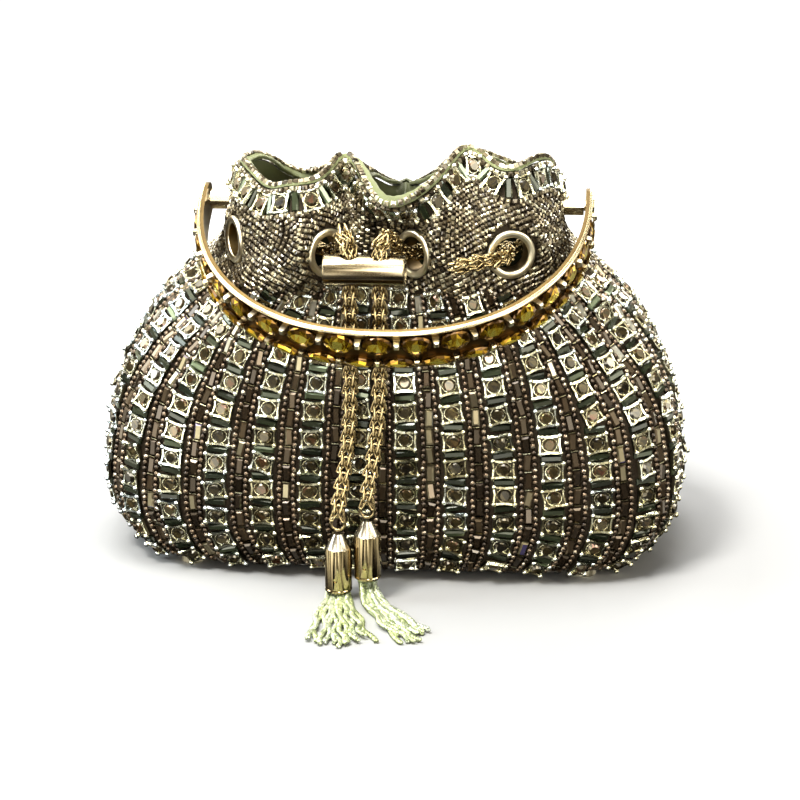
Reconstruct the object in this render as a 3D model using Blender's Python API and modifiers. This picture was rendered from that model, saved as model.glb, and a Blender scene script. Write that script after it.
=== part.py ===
"""Gathered evening pouch (potli) with a stone-set shell, a chain drawstring and a rigid arch handle.

The sizes are in millimetres and are turned into metres when a mesh is made. +Z is up and the
front of the pouch faces -Y.
"""

import math

import bmesh
import bpy
import numpy as np
from mathutils import Matrix, Vector

MM = 0.001

# Clearances
GAP = 0.3
LINING_GAP = 0.45

# Feet and base
FOOT_HEIGHT = 3.0
FOOT_RADIUS = 4.0
FOOT_CHAMFER = 0.6
FOOT_STEM_RADIUS = 1.5
FOOT_X = 70.0
FOOT_Y = 34.0
BOARD_THICKNESS = 2.0
BOARD_INSET = 1.6

# Wall of the pouch
WALL = 1.6
LINING_WALL = 0.8
COLUMNS = 32
POINTS_PER_COLUMN = 3
COLUMN_RELIEF = 0.9
LINING_SLACK = 7.5
LINING_COARSENESS = 3
LINING_ROWS = (3, 5, 6)
LINING_CLOSE_ROW = 7

# Plan of the pouch at each height: rise above the underside, half width, half depth,
# power of the rounded corners and share of the gathers
UNDERSIDE = FOOT_HEIGHT + GAP
PLAN_LEVELS = (
    (0.0, 84.0, 39.0, 5.0, 0.0),
    (2.2, 88.5, 42.5, 5.0, 0.0),
    (9.0, 95.5, 46.5, 4.2, 0.0),
    (21.0, 101.5, 49.5, 3.6, 0.0),
    (38.0, 102.0, 50.0, 3.2, 0.0),
    (57.0, 98.5, 48.8, 2.9, 0.03),
    (74.0, 93.5, 46.5, 2.7, 0.12),
    (88.0, 86.5, 44.0, 2.4, 0.32),
    (98.0, 77.0, 41.5, 2.15, 0.60),
    (105.0, 67.5, 39.5, 2.15, 0.86),
    (111.7, 58.5, 38.0, 2.4, 1.0),
)
CINCH_HEIGHT = UNDERSIDE + PLAN_LEVELS[-1][0]
RUFFLE_STEPS = (0.3, 0.65, 1.0)

# Half width of the gathered neck between the handle's pivots
PIVOT_SIDE = 58.0

# Gathers: share of the way round from the front centre, place at the drawstring (x, y),
# place of the rim (x, y) and rise of the rim over the drawstring
GATHERS = (
    (0.000, -5.0, -28.5, -3.0, -45.0, 16.0),
    (0.018, 3.5, -30.5, 4.0, -46.0, 16.8),
    (0.035, 10.0, -36.5, 10.5, -45.0, 18.5),
    (0.052, 15.8, -42.8, 16.5, -40.5, 22.5),
    (0.070, 21.5, -46.5, 22.0, -31.0, 28.5),
    (0.095, 28.5, -42.0, 26.0, -20.5, 34.0),
    (0.122, 33.5, -36.0, 31.5, -21.0, 28.0),
    (0.150, 41.5, -34.5, 39.0, -28.5, 25.0),
    (0.182, 50.5, -29.0, 46.5, -21.0, 26.5),
    (0.215, 56.5, -15.0, 53.0, -6.0, 27.5),
    (0.240, PIVOT_SIDE, -4.0, 56.5, 2.0, 21.0),
    (0.262, PIVOT_SIDE, 4.0, 57.0, 8.0, 18.5),
    (0.290, 56.5, 15.0, 54.0, 18.0, 17.0),
    (0.310, 52.5, 24.0, 49.0, 28.0, 15.0),
    (0.332, 45.0, 30.5, 41.5, 33.0, 16.0),
    (0.360, 37.0, 32.5, 32.5, 27.0, 20.5),
    (0.385, 29.5, 29.5, 25.0, 14.0, 25.5),
    (0.410, 22.5, 31.5, 19.0, 19.0, 20.5),
    (0.440, 14.0, 35.5, 13.0, 35.0, 12.5),
    (0.470, 6.5, 38.5, 7.0, 46.5, 6.8),
    (0.500, 0.0, 39.0, 0.0, 50.0, 5.0),
    (0.530, -6.5, 38.5, -7.0, 46.5, 6.8),
    (0.560, -14.0, 35.5, -12.0, 34.0, 12.5),
    (0.590, -22.5, 31.5, -15.5, 18.5, 19.0),
    (0.615, -29.5, 29.5, -19.0, 11.5, 22.0),
    (0.640, -37.0, 32.5, -28.0, 22.0, 15.0),
    (0.668, -45.0, 30.5, -39.5, 31.0, 13.0),
    (0.690, -52.5, 24.0, -46.5, 25.5, 17.5),
    (0.710, -56.5, 15.0, -51.5, 14.5, 23.5),
    (0.738, -PIVOT_SIDE, 4.0, -56.0, 7.0, 22.0),
    (0.765, -PIVOT_SIDE, -8.5, -54.5, -3.0, 23.5),
    (0.800, -53.0, -20.5, -50.0, -13.0, 22.0),
    (0.835, -44.0, -34.5, -41.0, -26.5, 17.5),
    (0.868, -35.5, -44.0, -34.0, -33.0, 21.0),
    (0.900, -27.5, -44.5, -25.0, -35.0, 21.5),
    (0.930, -20.0, -37.8, -19.0, -28.0, 24.0),
    (0.965, -13.0, -31.0, -15.0, -14.5, 30.5),
)

# Eyelets, by their share of the way round
EYELET_SHARES = (0.035, 0.150, 0.332, 0.440, 0.560, 0.668, 0.800, 0.930)
EYELET_RADIUS = 8.3
EYELET_HOLE_RADIUS = 5.8
EYELET_BARREL_RADIUS = 6.5
EYELET_ROLL = 1.6
WASHER_RADIUS = 7.8
WASHER_THICKNESS = 0.8
CLINCH_RADIUS = 7.2
CLINCH_THICKNESS = 0.8
SEAT_MARGIN = 1.6
SEAT_BLEND = 5.0
SEAT_TRIM = 0.1
SEAT_TURN = math.radians(11.0)
SEAT_SHARE = 0.06
RELAXED_LEVELS = 5
RELAX_TURNS = 4

# Rim binding
BINDING_HEIGHT = 2.4
BINDING_OVERLAP = 0.4
BINDING_GAP = 0.7

# Chain drawstring, slider, caps and tassels
CHAIN_RADIUS = 2.7
STRAND_SPACING = 9.8
SLIDER_RADIUS = 5.3
SLIDER_LENGTH = 27.0
SLIDER_CHAMFER = 0.8
SLIDER_X = -5.5
SLIDER_Y = -53.0
SLIDER_Z = 112.6
SLIDER_BORE_CLEARANCE = 0.5
RING_RADIUS = 2.4
RING_WIRE_RADIUS = 0.6
CAP_RADIUS = 4.6
CAP_BODY = 16.0
CAP_CONE = 5.0
CAP_TOP_RADIUS = 1.6
CAP_WALL = 0.7
CAP_BORE_DEPTH = 9.0
TASSEL_IN_CAP = 5.0
TASSEL_SIDES = 8
LEFT_CAP_FOOT = (-14.0, -62.0, 3.2)
RIGHT_CAP_FOOT = (-4.2, -60.6, 7.6)

# Tassels as they lie: centre (x, y, z), width and thickness of each section
LEFT_TASSEL = (
    (-14.0, -62.0, 3.8, 6.8, 6.4),
    (-14.0, -63.2, 1.9, 7.6, 3.2),
    (-13.7, -67.0, 1.35, 9.5, 2.2),
    (-12.8, -76.0, 1.4, 14.0, 2.4),
    (-10.5, -90.0, 1.35, 20.0, 2.2),
    (-8.0, -101.0, 1.3, 24.0, 2.0),
)
RIGHT_TASSEL = (
    (-4.2, -60.6, 8.2, 6.8, 6.4),
    (-4.0, -61.2, 5.5, 6.4, 5.0),
    (-3.0, -63.8, 2.7, 7.0, 3.4),
    (-0.5, -69.0, 1.5, 8.5, 2.5),
    (6.0, -80.0, 1.5, 11.0, 2.5),
    (16.5, -95.0, 1.4, 15.0, 2.2),
)

# Routes of the chain (x, y, z)
DRAWSTRING_ROUTE = (
    (-10.4, -53.0, 112.6), (-10.4, -53.0, 117.5), (-11.2, -51.8, 121.6), (-13.2, -48.0, 122.6),
    (-14.6, -42.6, 119.4), (-16.1, -39.2, 116.4), (-18.1, -36.0, 115.2), (-23.8, -31.3, 114.6),
    (-28.8, -29.6, 114.2), (-34.0, -28.0, 114.0), (-40.0, -22.5, 114.0), (-44.5, -14.5, 114.0),
    (-49.0, -6.0, 114.0), (-50.5, 3.0, 114.0), (-47.0, 13.0, 114.0), (-42.4, 22.0, 114.2),
    (-43.0, 26.6, 114.6), (-45.0, 30.5, 115.0), (-47.6, 35.6, 115.0), (-45.0, 40.2, 115.0),
    (-37.0, 42.0, 115.0), (-28.0, 42.0, 115.0), (-20.5, 43.4, 115.0), (-16.2, 40.8, 115.0),
    (-14.0, 35.5, 115.0), (-11.2, 29.2, 114.6), (-5.5, 25.8, 114.2), (0.0, 25.0, 114.2),
    (5.5, 25.8, 114.2), (11.2, 29.2, 114.6), (14.0, 35.5, 115.0), (16.2, 40.8, 115.0),
    (20.5, 43.4, 115.0), (28.0, 42.0, 115.0), (37.0, 42.0, 115.0), (45.0, 40.2, 115.0),
    (47.6, 35.6, 115.0), (45.0, 30.5, 115.0), (43.0, 26.6, 114.6), (42.4, 22.0, 114.2),
    (47.0, 13.0, 114.0), (50.5, 3.0, 114.0), (50.0, -8.0, 114.0), (45.5, -18.5, 114.0),
    (38.0, -23.8, 114.0), (28.5, -25.5, 114.0), (20.0, -27.5, 114.2), (14.6, -31.6, 114.6),
    (8.2, -34.7, 115.2), (5.9, -38.3, 116.4), (3.9, -42.2, 119.4), (2.2, -47.6, 122.6),
    (0.2, -51.8, 121.6), (-0.6, -53.0, 117.5), (-0.6, -53.0, 112.6),
)
TAIL_ROUTE = ((40.5, -30.1, 115.0), (40.6, -35.0, 115.0), (40.0, -39.5, 115.2),
              (36.8, -43.1, 115.2), (31.2, -46.7, 114.8), (25.2, -51.1, 114.2))
LEFT_STRAND_ROUTE = ((-10.4, -53.0, 112.2), (-10.4, -53.0, 96.0), (-10.4, -53.1, 80.0),
                     (-10.6, -54.7, 62.0), (-12.0, -57.0, 46.0), (-13.5, -60.4, 36.0),
                     (-13.9, -61.6, 31.0))
RIGHT_STRAND_ROUTE = ((-0.6, -53.0, 112.2), (-0.6, -53.0, 96.0), (-0.6, -53.1, 80.0),
                      (-0.9, -54.7, 64.0), (-2.2, -56.6, 51.0), (-3.7, -59.4, 41.0),
                      (-4.1, -60.4, 35.4))

# Arch handle and its pivots
HANDLE_STANDOFF = 8.6
HANDLE_HALF_WIDTH = PIVOT_SIDE + HANDLE_STANDOFF
HANDLE_REACH = 76.4
HANDLE_POWER = 2.25
HANDLE_STATIONS = 52
BAND_WIDTH = 15.5
BAND_END_WIDTH = 12.0
BAND_THICKNESS = 1.6
RAIL_WIDTH = 1.5
RAIL_HEIGHT = 1.2
OVAL_COUNT = 15
STONE_PITCH = 13.9
STONE_MARGIN = 0.3
HANDLE_TAIL = 5.5
OVAL_LENGTH = 9.6
OVAL_WIDTH = 6.6
MARQUISE_LENGTH = 10.4
MARQUISE_WIDTH = 4.2
STONE_BED = 0.4
STONE_GIRDLE = 0.9
STONE_HEIGHT = 2.2
STONE_TABLE = 0.55
HANDLE_REST = math.radians(26.0)
PIVOT_Y = 4.0
PIVOT_Z = 124.0
PIVOT_SHARES = (0.262, 0.738)
PIVOT_SHANK_RADIUS = 2.0
PIVOT_BORE_CLEARANCE = 0.3
PIVOT_HEAD_RADIUS = 3.4
PIVOT_HEAD_HEIGHT = 1.4
PIVOT_GAP = 0.35
HANDLE_CLEARANCE = 3.0
HANDLE_HOLLOW = 14.0
POST_RADIUS = 3.6
NUT_RADIUS = 3.4
NUT_HEIGHT = 1.8

CORD_PREFIXES = ("drawstring_chain", "chain_", "tassel_")
COLLECTION_NAME = "potli_bag"
CUTTER_COLLECTION_NAME = "potli_bag_cutters"


def clear_scene():
    for old in list(bpy.data.objects):
        bpy.data.objects.remove(old, do_unlink=True)


def new_collection(name):
    collection = bpy.data.collections.new(name)
    bpy.context.scene.collection.children.link(collection)
    return collection


def material(name, colour, metallic=0.0, roughness=0.5):
    """A Principled material with one colour."""
    made = bpy.data.materials.get(name)
    if made is None:
        made = bpy.data.materials.new(name)
        made.use_nodes = True
        shader = made.node_tree.nodes["Principled BSDF"]
        shader.inputs["Base Color"].default_value = (*colour, 1.0)
        shader.inputs["Metallic"].default_value = metallic
        shader.inputs["Roughness"].default_value = roughness
    return made


def stone_cloth():
    return material("stone_cloth", (0.26, 0.24, 0.16), 0.55, 0.35)


def satin():
    return material("satin", (0.50, 0.52, 0.25), 0.0, 0.45)


def pale_gold():
    return material("pale_gold", (0.86, 0.76, 0.52), 1.0, 0.22)


def amber():
    return material("amber_set_gold", (0.80, 0.58, 0.16), 0.9, 0.2)


def board_card():
    return material("board_card", (0.22, 0.20, 0.17), 0.0, 0.8)


def add_object(name, mesh, finish, matrix=None, collection=None):
    made = bpy.data.objects.new(name, mesh)
    (collection or PARTS).objects.link(made)
    made.data.materials.clear()
    made.data.materials.append(finish)
    if matrix is not None:
        made.matrix_world = matrix
    return made


def mesh_from(name, points, faces):
    """A mesh from points in millimetres."""
    mesh = bpy.data.meshes.new(name)
    mesh.from_pydata([tuple(c * MM for c in p) for p in points], [], faces)
    mesh.update()
    return mesh


def place(centre, axis, spin=None):
    """A frame at centre (millimetres) with its Z along axis."""
    z = Vector(axis).normalized()
    x = Vector(spin) if spin else Vector((0.0, 0.0, 1.0))
    if abs(x.normalized().dot(z)) > 0.95:
        x = Vector((1.0, 0.0, 0.0))
    y = z.cross(x).normalized()
    x = y.cross(z).normalized()
    turn = Matrix((x, y, z)).transposed().to_4x4()
    return Matrix.Translation(Vector(centre) * MM) @ turn


def turned(name, profile, finish, matrix, steps=12, closed=False, collection=None):
    """A turned piece from a profile of (radius, height) that runs down its outer side."""
    mesh = bpy.data.meshes.new(name)
    count = len(profile)
    edges = [(i, i + 1) for i in range(count - 1)]
    if closed:
        edges.append((count - 1, 0))
    mesh.from_pydata([(r * MM, 0.0, h * MM) for r, h in profile], edges, [])
    mesh.update()
    made = add_object(name, mesh, finish, matrix, collection)
    screw = made.modifiers.new("turn", "SCREW")
    screw.axis = "Z"
    screw.steps = steps
    screw.render_steps = steps
    screw.use_merge_vertices = True
    screw.merge_threshold = 0.00001
    screw.use_smooth_shade = True
    return made


def cutter_from(name, profile, matrix, steps=12):
    """A turned cutter whose flats, not its corners, lie at the radii of the profile."""
    wide = [(radius / math.cos(math.pi / steps), height) for radius, height in profile]
    cutter = turned(name, wide, board_card(), matrix, steps, collection=CUTTERS)
    cutter.hide_render = True
    cutter.display_type = "WIRE"
    return cutter


def solid_cutter(name, radius, low, high, matrix, steps=12):
    return cutter_from(name, ((0.0, high), (radius, high), (radius, low), (0.0, low)), matrix,
                       steps)


def seat_cutter(name, outer, bore, inner, top, depth, foot, matrix):
    """A hole through both layers, with room for a piece seated outside and one inside."""
    profile = ((0.0, top), (outer, top), (outer, SEAT_TRIM), (bore, SEAT_TRIM),
               (bore, -depth - SEAT_TRIM), (inner, -depth - SEAT_TRIM), (inner, foot), (0.0, foot))
    return cutter_from(name, profile, matrix @ Matrix.Rotation(SEAT_TURN, 4, "Z"))


def cut(target, cutter):
    tool = target.modifiers.new("cut_" + cutter.name, "BOOLEAN")
    tool.operation = "DIFFERENCE"
    tool.object = cutter


def tube(name, points, radius, finish, resolution=2, cyclic=False):
    """A tube of one poly spline with filled ends."""
    curve = bpy.data.curves.new(name, "CURVE")
    curve.dimensions = "3D"
    curve.bevel_depth = radius * MM
    curve.bevel_resolution = resolution
    curve.use_fill_caps = not cyclic
    spline = curve.splines.new("POLY")
    spline.points.add(len(points) - 1)
    for spot, point in zip(spline.points, points):
        spot.co = (*(c * MM for c in point), 1.0)
    spline.use_cyclic_u = cyclic
    made = bpy.data.objects.new(name, curve)
    PARTS.objects.link(made)
    curve.materials.append(finish)
    return made


def smooth_route(points, spacing):
    """Points at an even spacing on a smooth curve through the route's own points."""
    route = np.array(points, float)
    ends = np.vstack((2 * route[0] - route[1], route, 2 * route[-1] - route[-2]))
    dense = []
    for i in range(1, len(ends) - 2):
        a, b, c, d = ends[i - 1:i + 3]
        for s in np.linspace(0.0, 1.0, 24, endpoint=False):
            dense.append(0.5 * (2 * b + (c - a) * s + (2 * a - 5 * b + 4 * c - d) * s ** 2
                                + (3 * b - a - 3 * c + d) * s ** 3))
    dense.append(route[-1])
    dense = np.array(dense)
    run = np.concatenate(([0.0], np.cumsum(np.linalg.norm(np.diff(dense, axis=0), axis=1))))
    count = max(2, int(round(run[-1] / spacing)) + 1)
    marks = np.linspace(0.0, run[-1], count)
    return np.column_stack([np.interp(marks, run, dense[:, k]) for k in range(3)])


def ring_plan(half_width, half_depth, power, count):
    """Points evenly spaced round a rounded rectangle, from the front centre towards +X."""
    angle = np.linspace(0.0, 2.0 * math.pi, 1441)
    sine, cosine = np.sin(angle), np.cos(angle)
    x = half_width * np.sign(sine) * np.abs(sine) ** (2.0 / power)
    y = -half_depth * np.sign(cosine) * np.abs(cosine) ** (2.0 / power)
    run = np.concatenate(([0.0], np.cumsum(np.hypot(np.diff(x), np.diff(y)))))
    marks = np.arange(count) * run[-1] / count
    return np.column_stack((np.interp(marks, run, x), np.interp(marks, run, y)))


def round_the_gathers(column, shares):
    """One column of the gathers as a smooth closed curve, read at the shares."""
    knots = np.array([row[0] for row in GATHERS])
    values = np.array([row[column] for row in GATHERS])
    knots = np.concatenate((knots[-2:] - 1.0, knots, knots[:2] + 1.0))
    values = np.concatenate((values[-2:], values, values[:2]))
    slopes = np.zeros_like(values)
    slopes[1:-1] = (values[2:] - values[:-2]) / (knots[2:] - knots[:-2])
    found = np.searchsorted(knots, shares, side="right") - 1
    width = knots[found + 1] - knots[found]
    s = (shares - knots[found]) / width
    return ((2 * s ** 3 - 3 * s ** 2 + 1) * values[found]
            + (s ** 3 - 2 * s ** 2 + s) * width * slopes[found]
            + (3 * s ** 2 - 2 * s ** 3) * values[found + 1]
            + (s ** 3 - s ** 2) * width * slopes[found + 1])


def wall_grid(count):
    """Rows of points up the wall, from the underside to the rim, without relief."""
    shares = np.arange(count) / count
    drawn = np.column_stack([round_the_gathers(c, shares) for c in (1, 2)])
    rim = np.column_stack([round_the_gathers(c, shares) for c in (3, 4, 5)])
    rim[:, 2] += CINCH_HEIGHT
    neck = ring_plan(*PLAN_LEVELS[-1][1:4], count)
    rows = []
    for rise, half_width, half_depth, power, gather in PLAN_LEVELS:
        plan = ring_plan(half_width, half_depth, power, count) + gather * (drawn - neck)
        rows.append(np.column_stack((plan, np.full(count, UNDERSIDE + rise))))
    cinch = rows[-1]
    for step in RUFFLE_STEPS:
        rows.append(cinch + (rim - cinch) * step)
    return np.array(rows)


def grid_normals(grid):
    """Outward normals of a grid of points."""
    around = np.roll(grid, -1, axis=1) - np.roll(grid, 1, axis=1)
    upward = np.gradient(grid, axis=0)
    normal = np.cross(around, upward)
    return normal / np.linalg.norm(normal, axis=2, keepdims=True)


def eyelet_frames():
    """Centre and outward axis of each eyelet, level with the ground."""
    count = 2000
    grid = wall_grid(count)
    cinch_row = len(PLAN_LEVELS) - 1
    frames = []
    for share in EYELET_SHARES:
        spot = int(round(share * count)) % count
        near = grid[cinch_row]
        along = near[(spot + 36) % count] - near[(spot - 36) % count]
        axis = np.array((along[1], -along[0], 0.0))
        frames.append((near[spot], axis / np.linalg.norm(axis)))
    return frames


def pivot_frames():
    """Centre on the wall and outward axis of each handle pivot."""
    return [(np.array((sign * PIVOT_SIDE, PIVOT_Y, PIVOT_Z)), np.array((sign, 0.0, 0.0)))
            for sign in (1.0, -1.0)]


def seat_cover(grid):
    """How far each point of the wall belongs to the flat seat of an eyelet or a pivot."""
    count = grid.shape[1]
    shares = np.arange(count) / count
    seats = [(c, a, s, EYELET_RADIUS + SEAT_MARGIN)
             for (c, a), s in zip(eyelet_frames(), EYELET_SHARES)]
    seats += [(c, a, s, POST_RADIUS + SEAT_MARGIN)
              for (c, a), s in zip(pivot_frames(), PIVOT_SHARES)]
    for centre, axis, share, radius in seats:
        offset = grid - centre
        height = offset @ axis
        flat = np.linalg.norm(offset - height[..., None] * axis, axis=2)
        apart = np.abs((shares - share + 0.5) % 1.0 - 0.5)
        cover = np.clip((radius + SEAT_BLEND - flat) / SEAT_BLEND, 0.0, 1.0)
        cover = cover * cover * (3.0 - 2.0 * cover) * (apart < SEAT_SHARE)
        yield cover, height, axis


def press_seats(grid):
    """Press the wall flat at its seats and relax the cloth round them."""
    first = len(PLAN_LEVELS) - RELAXED_LEVELS
    for turn in range(RELAX_TURNS):
        for cover, height, axis in seat_cover(grid):
            grid = grid - (cover * height)[..., None] * axis
        grid = hollow_for_handle(grid)
        around = 0.5 * (np.roll(grid, 1, axis=1) + np.roll(grid, -1, axis=1))
        moved = grid.copy()
        moved[first:] += 0.5 * (around[first:] - grid[first:])
        middle = slice(first, len(grid) - 1)
        upward = 0.5 * (moved[first - 1:-2] + moved[first + 1:])
        moved[middle] += 0.25 * (upward - moved[middle])
        grid = moved
    for cover, height, axis in seat_cover(grid):
        grid = grid - (cover * height)[..., None] * axis
    return grid


def hollow_for_handle(grid):
    """Draw the shoulders in where the resting handle lies over them."""
    sine, cosine = math.sin(HANDLE_REST), math.cos(HANDLE_REST)
    back, rise = grid[..., 1] - PIVOT_Y, grid[..., 2] - PIVOT_Z
    out = -back * cosine - rise * sine
    above = rise * cosine - back * sine
    across = np.abs(grid[..., 0]) / (HANDLE_HALF_WIDTH - HANDLE_CLEARANCE)
    along = np.clip(out, 0.0, None) / (HANDLE_REACH - HANDLE_CLEARANCE)
    reach = (across ** HANDLE_POWER + along ** HANDLE_POWER) ** (1.0 / HANDLE_POWER)
    near = np.clip(1.0 - (np.abs(above) - BAND_WIDTH / 2.0) / HANDLE_HOLLOW, 0.0, 1.0)
    near = near * near * (3.0 - 2.0 * near) * (out > 0.0)
    scale = 1.0 + near * (1.0 / np.maximum(reach, 1.0) - 1.0)
    moved = grid.copy()
    moved[..., 0] *= scale
    shift = out * (scale - 1.0)
    moved[..., 1] -= shift * cosine
    moved[..., 2] -= shift * sine
    return moved


def loft_faces(counts, starts, lean=None):
    """Faces between rows whose point counts are equal or a whole multiple of the row below.

    With lean, each face is cut into triangles; it tells which way the cuts of a row run.
    """
    faces = []
    for row in range(len(counts) - 1):
        low, high = counts[row], counts[row + 1]
        step = high // low
        for i in range(low):
            a, b = starts[row] + i, starts[row] + (i + 1) % low
            top = [starts[row + 1] + (i * step + k) % high for k in range(step + 1)]
            if lean is None:
                faces.append([a, b] + top[::-1])
                continue
            turn = lean[row][i] if step == 1 else step // 2
            faces.append([a, b, top[turn]])
            faces += [[b, top[k + 1], top[k]] for k in range(turn, step)]
            faces += [[a, top[k + 1], top[k]] for k in range(turn)]
    return faces


def cup(name, outer, inner, lean, finish):
    """A closed cup between two sets of rows; a row may have a multiple of the points below it."""
    rows = list(outer) + list(inner)
    counts = [len(row) for row in rows]
    starts = [sum(counts[:k]) for k in range(len(rows))]
    half = len(outer)
    faces = loft_faces(counts[:half], starts[:half], lean)
    faces += [face[::-1] for face in loft_faces(counts[half:], starts[half:], lean)]
    faces.append(list(range(counts[0] - 1, -1, -1)))
    faces.append(list(range(starts[half], starts[half] + counts[half])))
    outside, inside, count = starts[half - 1], starts[-1], counts[-1]
    for i in range(count):
        j = (i + 1) % count
        faces.append([outside + i, outside + j, inside + j, inside + i])
    points = np.concatenate([np.asarray(row, float) for row in rows])
    return add_object(name, mesh_from(name, points, faces), finish)


def wall_surface():
    """The wall's grid with its seats and hollows, its outward normals and the way to cut it."""
    grid = press_seats(wall_grid(COLUMNS * POINTS_PER_COLUMN))
    after = np.roll(grid, -1, axis=1)
    forward = np.linalg.norm(after[1:] - grid[:-1], axis=2)
    backward = np.linalg.norm(grid[1:] - after[:-1], axis=2)
    return grid, grid_normals(grid), (forward < backward).astype(int)


def build_shell(grid, normals, lean):
    """Outer cloth with its raised columns of set stones."""
    count = grid.shape[1]
    cover = sum(part[0] for part in seat_cover(grid))
    raised = (np.arange(count) % POINTS_PER_COLUMN != 0).astype(float)
    fade = np.array([1.0 - level[4] for level in PLAN_LEVELS] + [0.0] * len(RUFFLE_STEPS))
    fade[0] = 0.0
    relief = COLUMN_RELIEF * raised[None, :] * fade[:, None] * (1.0 - np.clip(cover, 0.0, 1.0))
    outer = grid + normals * relief[..., None]
    inner = grid - normals * WALL
    inner[0, :, 2] = UNDERSIDE + WALL
    return cup("outer_shell", outer, inner, lean, stone_cloth())


def build_lining(grid, normals, lean):
    """Satin lining, close to the shell at the mouth and slack lower down."""
    low = grid.shape[1] // LINING_COARSENESS
    floor = UNDERSIDE + WALL + GAP + BOARD_THICKNESS + GAP
    plans = [(floor, PLAN_LEVELS[1])] + [(UNDERSIDE + PLAN_LEVELS[row][0], PLAN_LEVELS[row])
                                         for row in LINING_ROWS]
    layers = []
    for depth in (0.0, LINING_WALL):
        slack = LINING_SLACK + depth
        rows = []
        for height, level in plans:
            plan = ring_plan(level[1] - slack, level[2] - slack, level[3], low)
            rise = height + (depth if height == floor else 0.0)
            rows.append(hollow_for_handle(np.column_stack((plan, np.full(low, rise)))))
        fine = grid - normals * (WALL + LINING_GAP + depth)
        rows += list(fine[LINING_CLOSE_ROW:])
        layers.append(rows)
    lean = [np.zeros(low, int)] * len(plans) + list(lean[LINING_CLOSE_ROW:])
    return cup("lining", *layers, lean, satin())


def build_board():
    level = PLAN_LEVELS[0]
    plan = ring_plan(level[1] - BOARD_INSET, level[2] - BOARD_INSET, level[3], 40)
    low = UNDERSIDE + WALL + GAP
    points = [(x, y, low) for x, y in plan] + [(x, y, low + BOARD_THICKNESS) for x, y in plan]
    faces = loft_faces([40, 40], [0, 40])
    faces += [list(range(39, -1, -1)), list(range(40, 80))]
    return add_object("base_board", mesh_from("base_board", points, faces), board_card())


def build_feet(shell, board):
    """Four turned feet whose stems pass through the cloth and the board."""
    top = UNDERSIDE + WALL + GAP + BOARD_THICKNESS - GAP
    profile = ((0.0, top), (FOOT_STEM_RADIUS, top), (FOOT_STEM_RADIUS, FOOT_HEIGHT),
               (FOOT_RADIUS, FOOT_HEIGHT), (FOOT_RADIUS, FOOT_CHAMFER),
               (FOOT_RADIUS - FOOT_CHAMFER, 0.0), (0.0, 0.0))
    corners = ((-1, -1), (1, -1), (1, 1), (-1, 1))
    for number, (sx, sy) in enumerate(corners, 1):
        matrix = Matrix.Translation(Vector((sx * FOOT_X, sy * FOOT_Y, 0.0)) * MM)
        turned(f"foot_{number}", profile, pale_gold(), matrix, steps=16)
        hole = solid_cutter(f"foot_hole_{number}", FOOT_STEM_RADIUS + GAP, FOOT_HEIGHT,
                            top + 2.0, matrix, steps=10)
        cut(shell, hole)
        cut(board, hole)


def build_eyelets(shell, lining):
    """Eyelets through both layers, each with its washer inside."""
    depth = WALL + LINING_GAP + LINING_WALL
    seat = SEAT_TRIM + GAP
    washer = -depth - seat
    back = washer - WASHER_THICKNESS
    clinch = back - GAP
    foot = clinch - CLINCH_THICKNESS
    roll = EYELET_ROLL
    eyelet_profile = (
        (EYELET_HOLE_RADIUS + 0.2, seat + roll), (EYELET_RADIUS - 1.0, seat + roll),
        (EYELET_RADIUS, seat + 0.4 * roll), (EYELET_RADIUS - 0.4, seat),
        (EYELET_BARREL_RADIUS, seat), (EYELET_BARREL_RADIUS, clinch),
        (CLINCH_RADIUS, clinch), (CLINCH_RADIUS, foot), (EYELET_HOLE_RADIUS, foot))
    bore = EYELET_BARREL_RADIUS + GAP
    washer_profile = ((bore, washer), (WASHER_RADIUS, washer), (WASHER_RADIUS, back),
                      (bore, back))
    for number, (centre, axis) in enumerate(eyelet_frames(), 1):
        matrix = place(centre, axis)
        turned(f"eyelet_{number:02d}", eyelet_profile, pale_gold(), matrix, closed=True)
        turned(f"eyelet_washer_{number:02d}", washer_profile, pale_gold(), matrix, closed=True)
        hole = seat_cutter(f"eyelet_hole_{number:02d}", EYELET_RADIUS + GAP, bore,
                           WASHER_RADIUS + 2.0 * GAP, seat + roll + GAP, depth, foot - GAP, matrix)
        cut(shell, hole)
        cut(lining, hole)


def build_binding(grid, normals):
    """Folded satin binding along the rim, over both layers."""
    count = grid.shape[1]
    up = grid[-1] - grid[-2]
    up = up / np.linalg.norm(up, axis=1, keepdims=True)
    normal = normals[-1]
    inside = -(WALL + LINING_GAP + LINING_WALL + BINDING_OVERLAP)
    section = ((BINDING_OVERLAP, 0.0), (BINDING_OVERLAP, 0.65), (-0.6, 1.0), (inside + 1.0, 1.0),
               (inside, 0.65), (inside, 0.0))
    rows = [grid[-1] + normal * across + up * (BINDING_GAP + rise * BINDING_HEIGHT)
            for across, rise in section]
    sides = len(rows)
    points = np.concatenate(rows)
    faces = []
    for i in range(count):
        j = (i + 1) % count
        for k in range(sides):
            m = (k + 1) % sides
            faces.append([k * count + i, k * count + j, m * count + j, m * count + i])
    return add_object("rim_binding", mesh_from("rim_binding", points, faces), satin())


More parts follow.
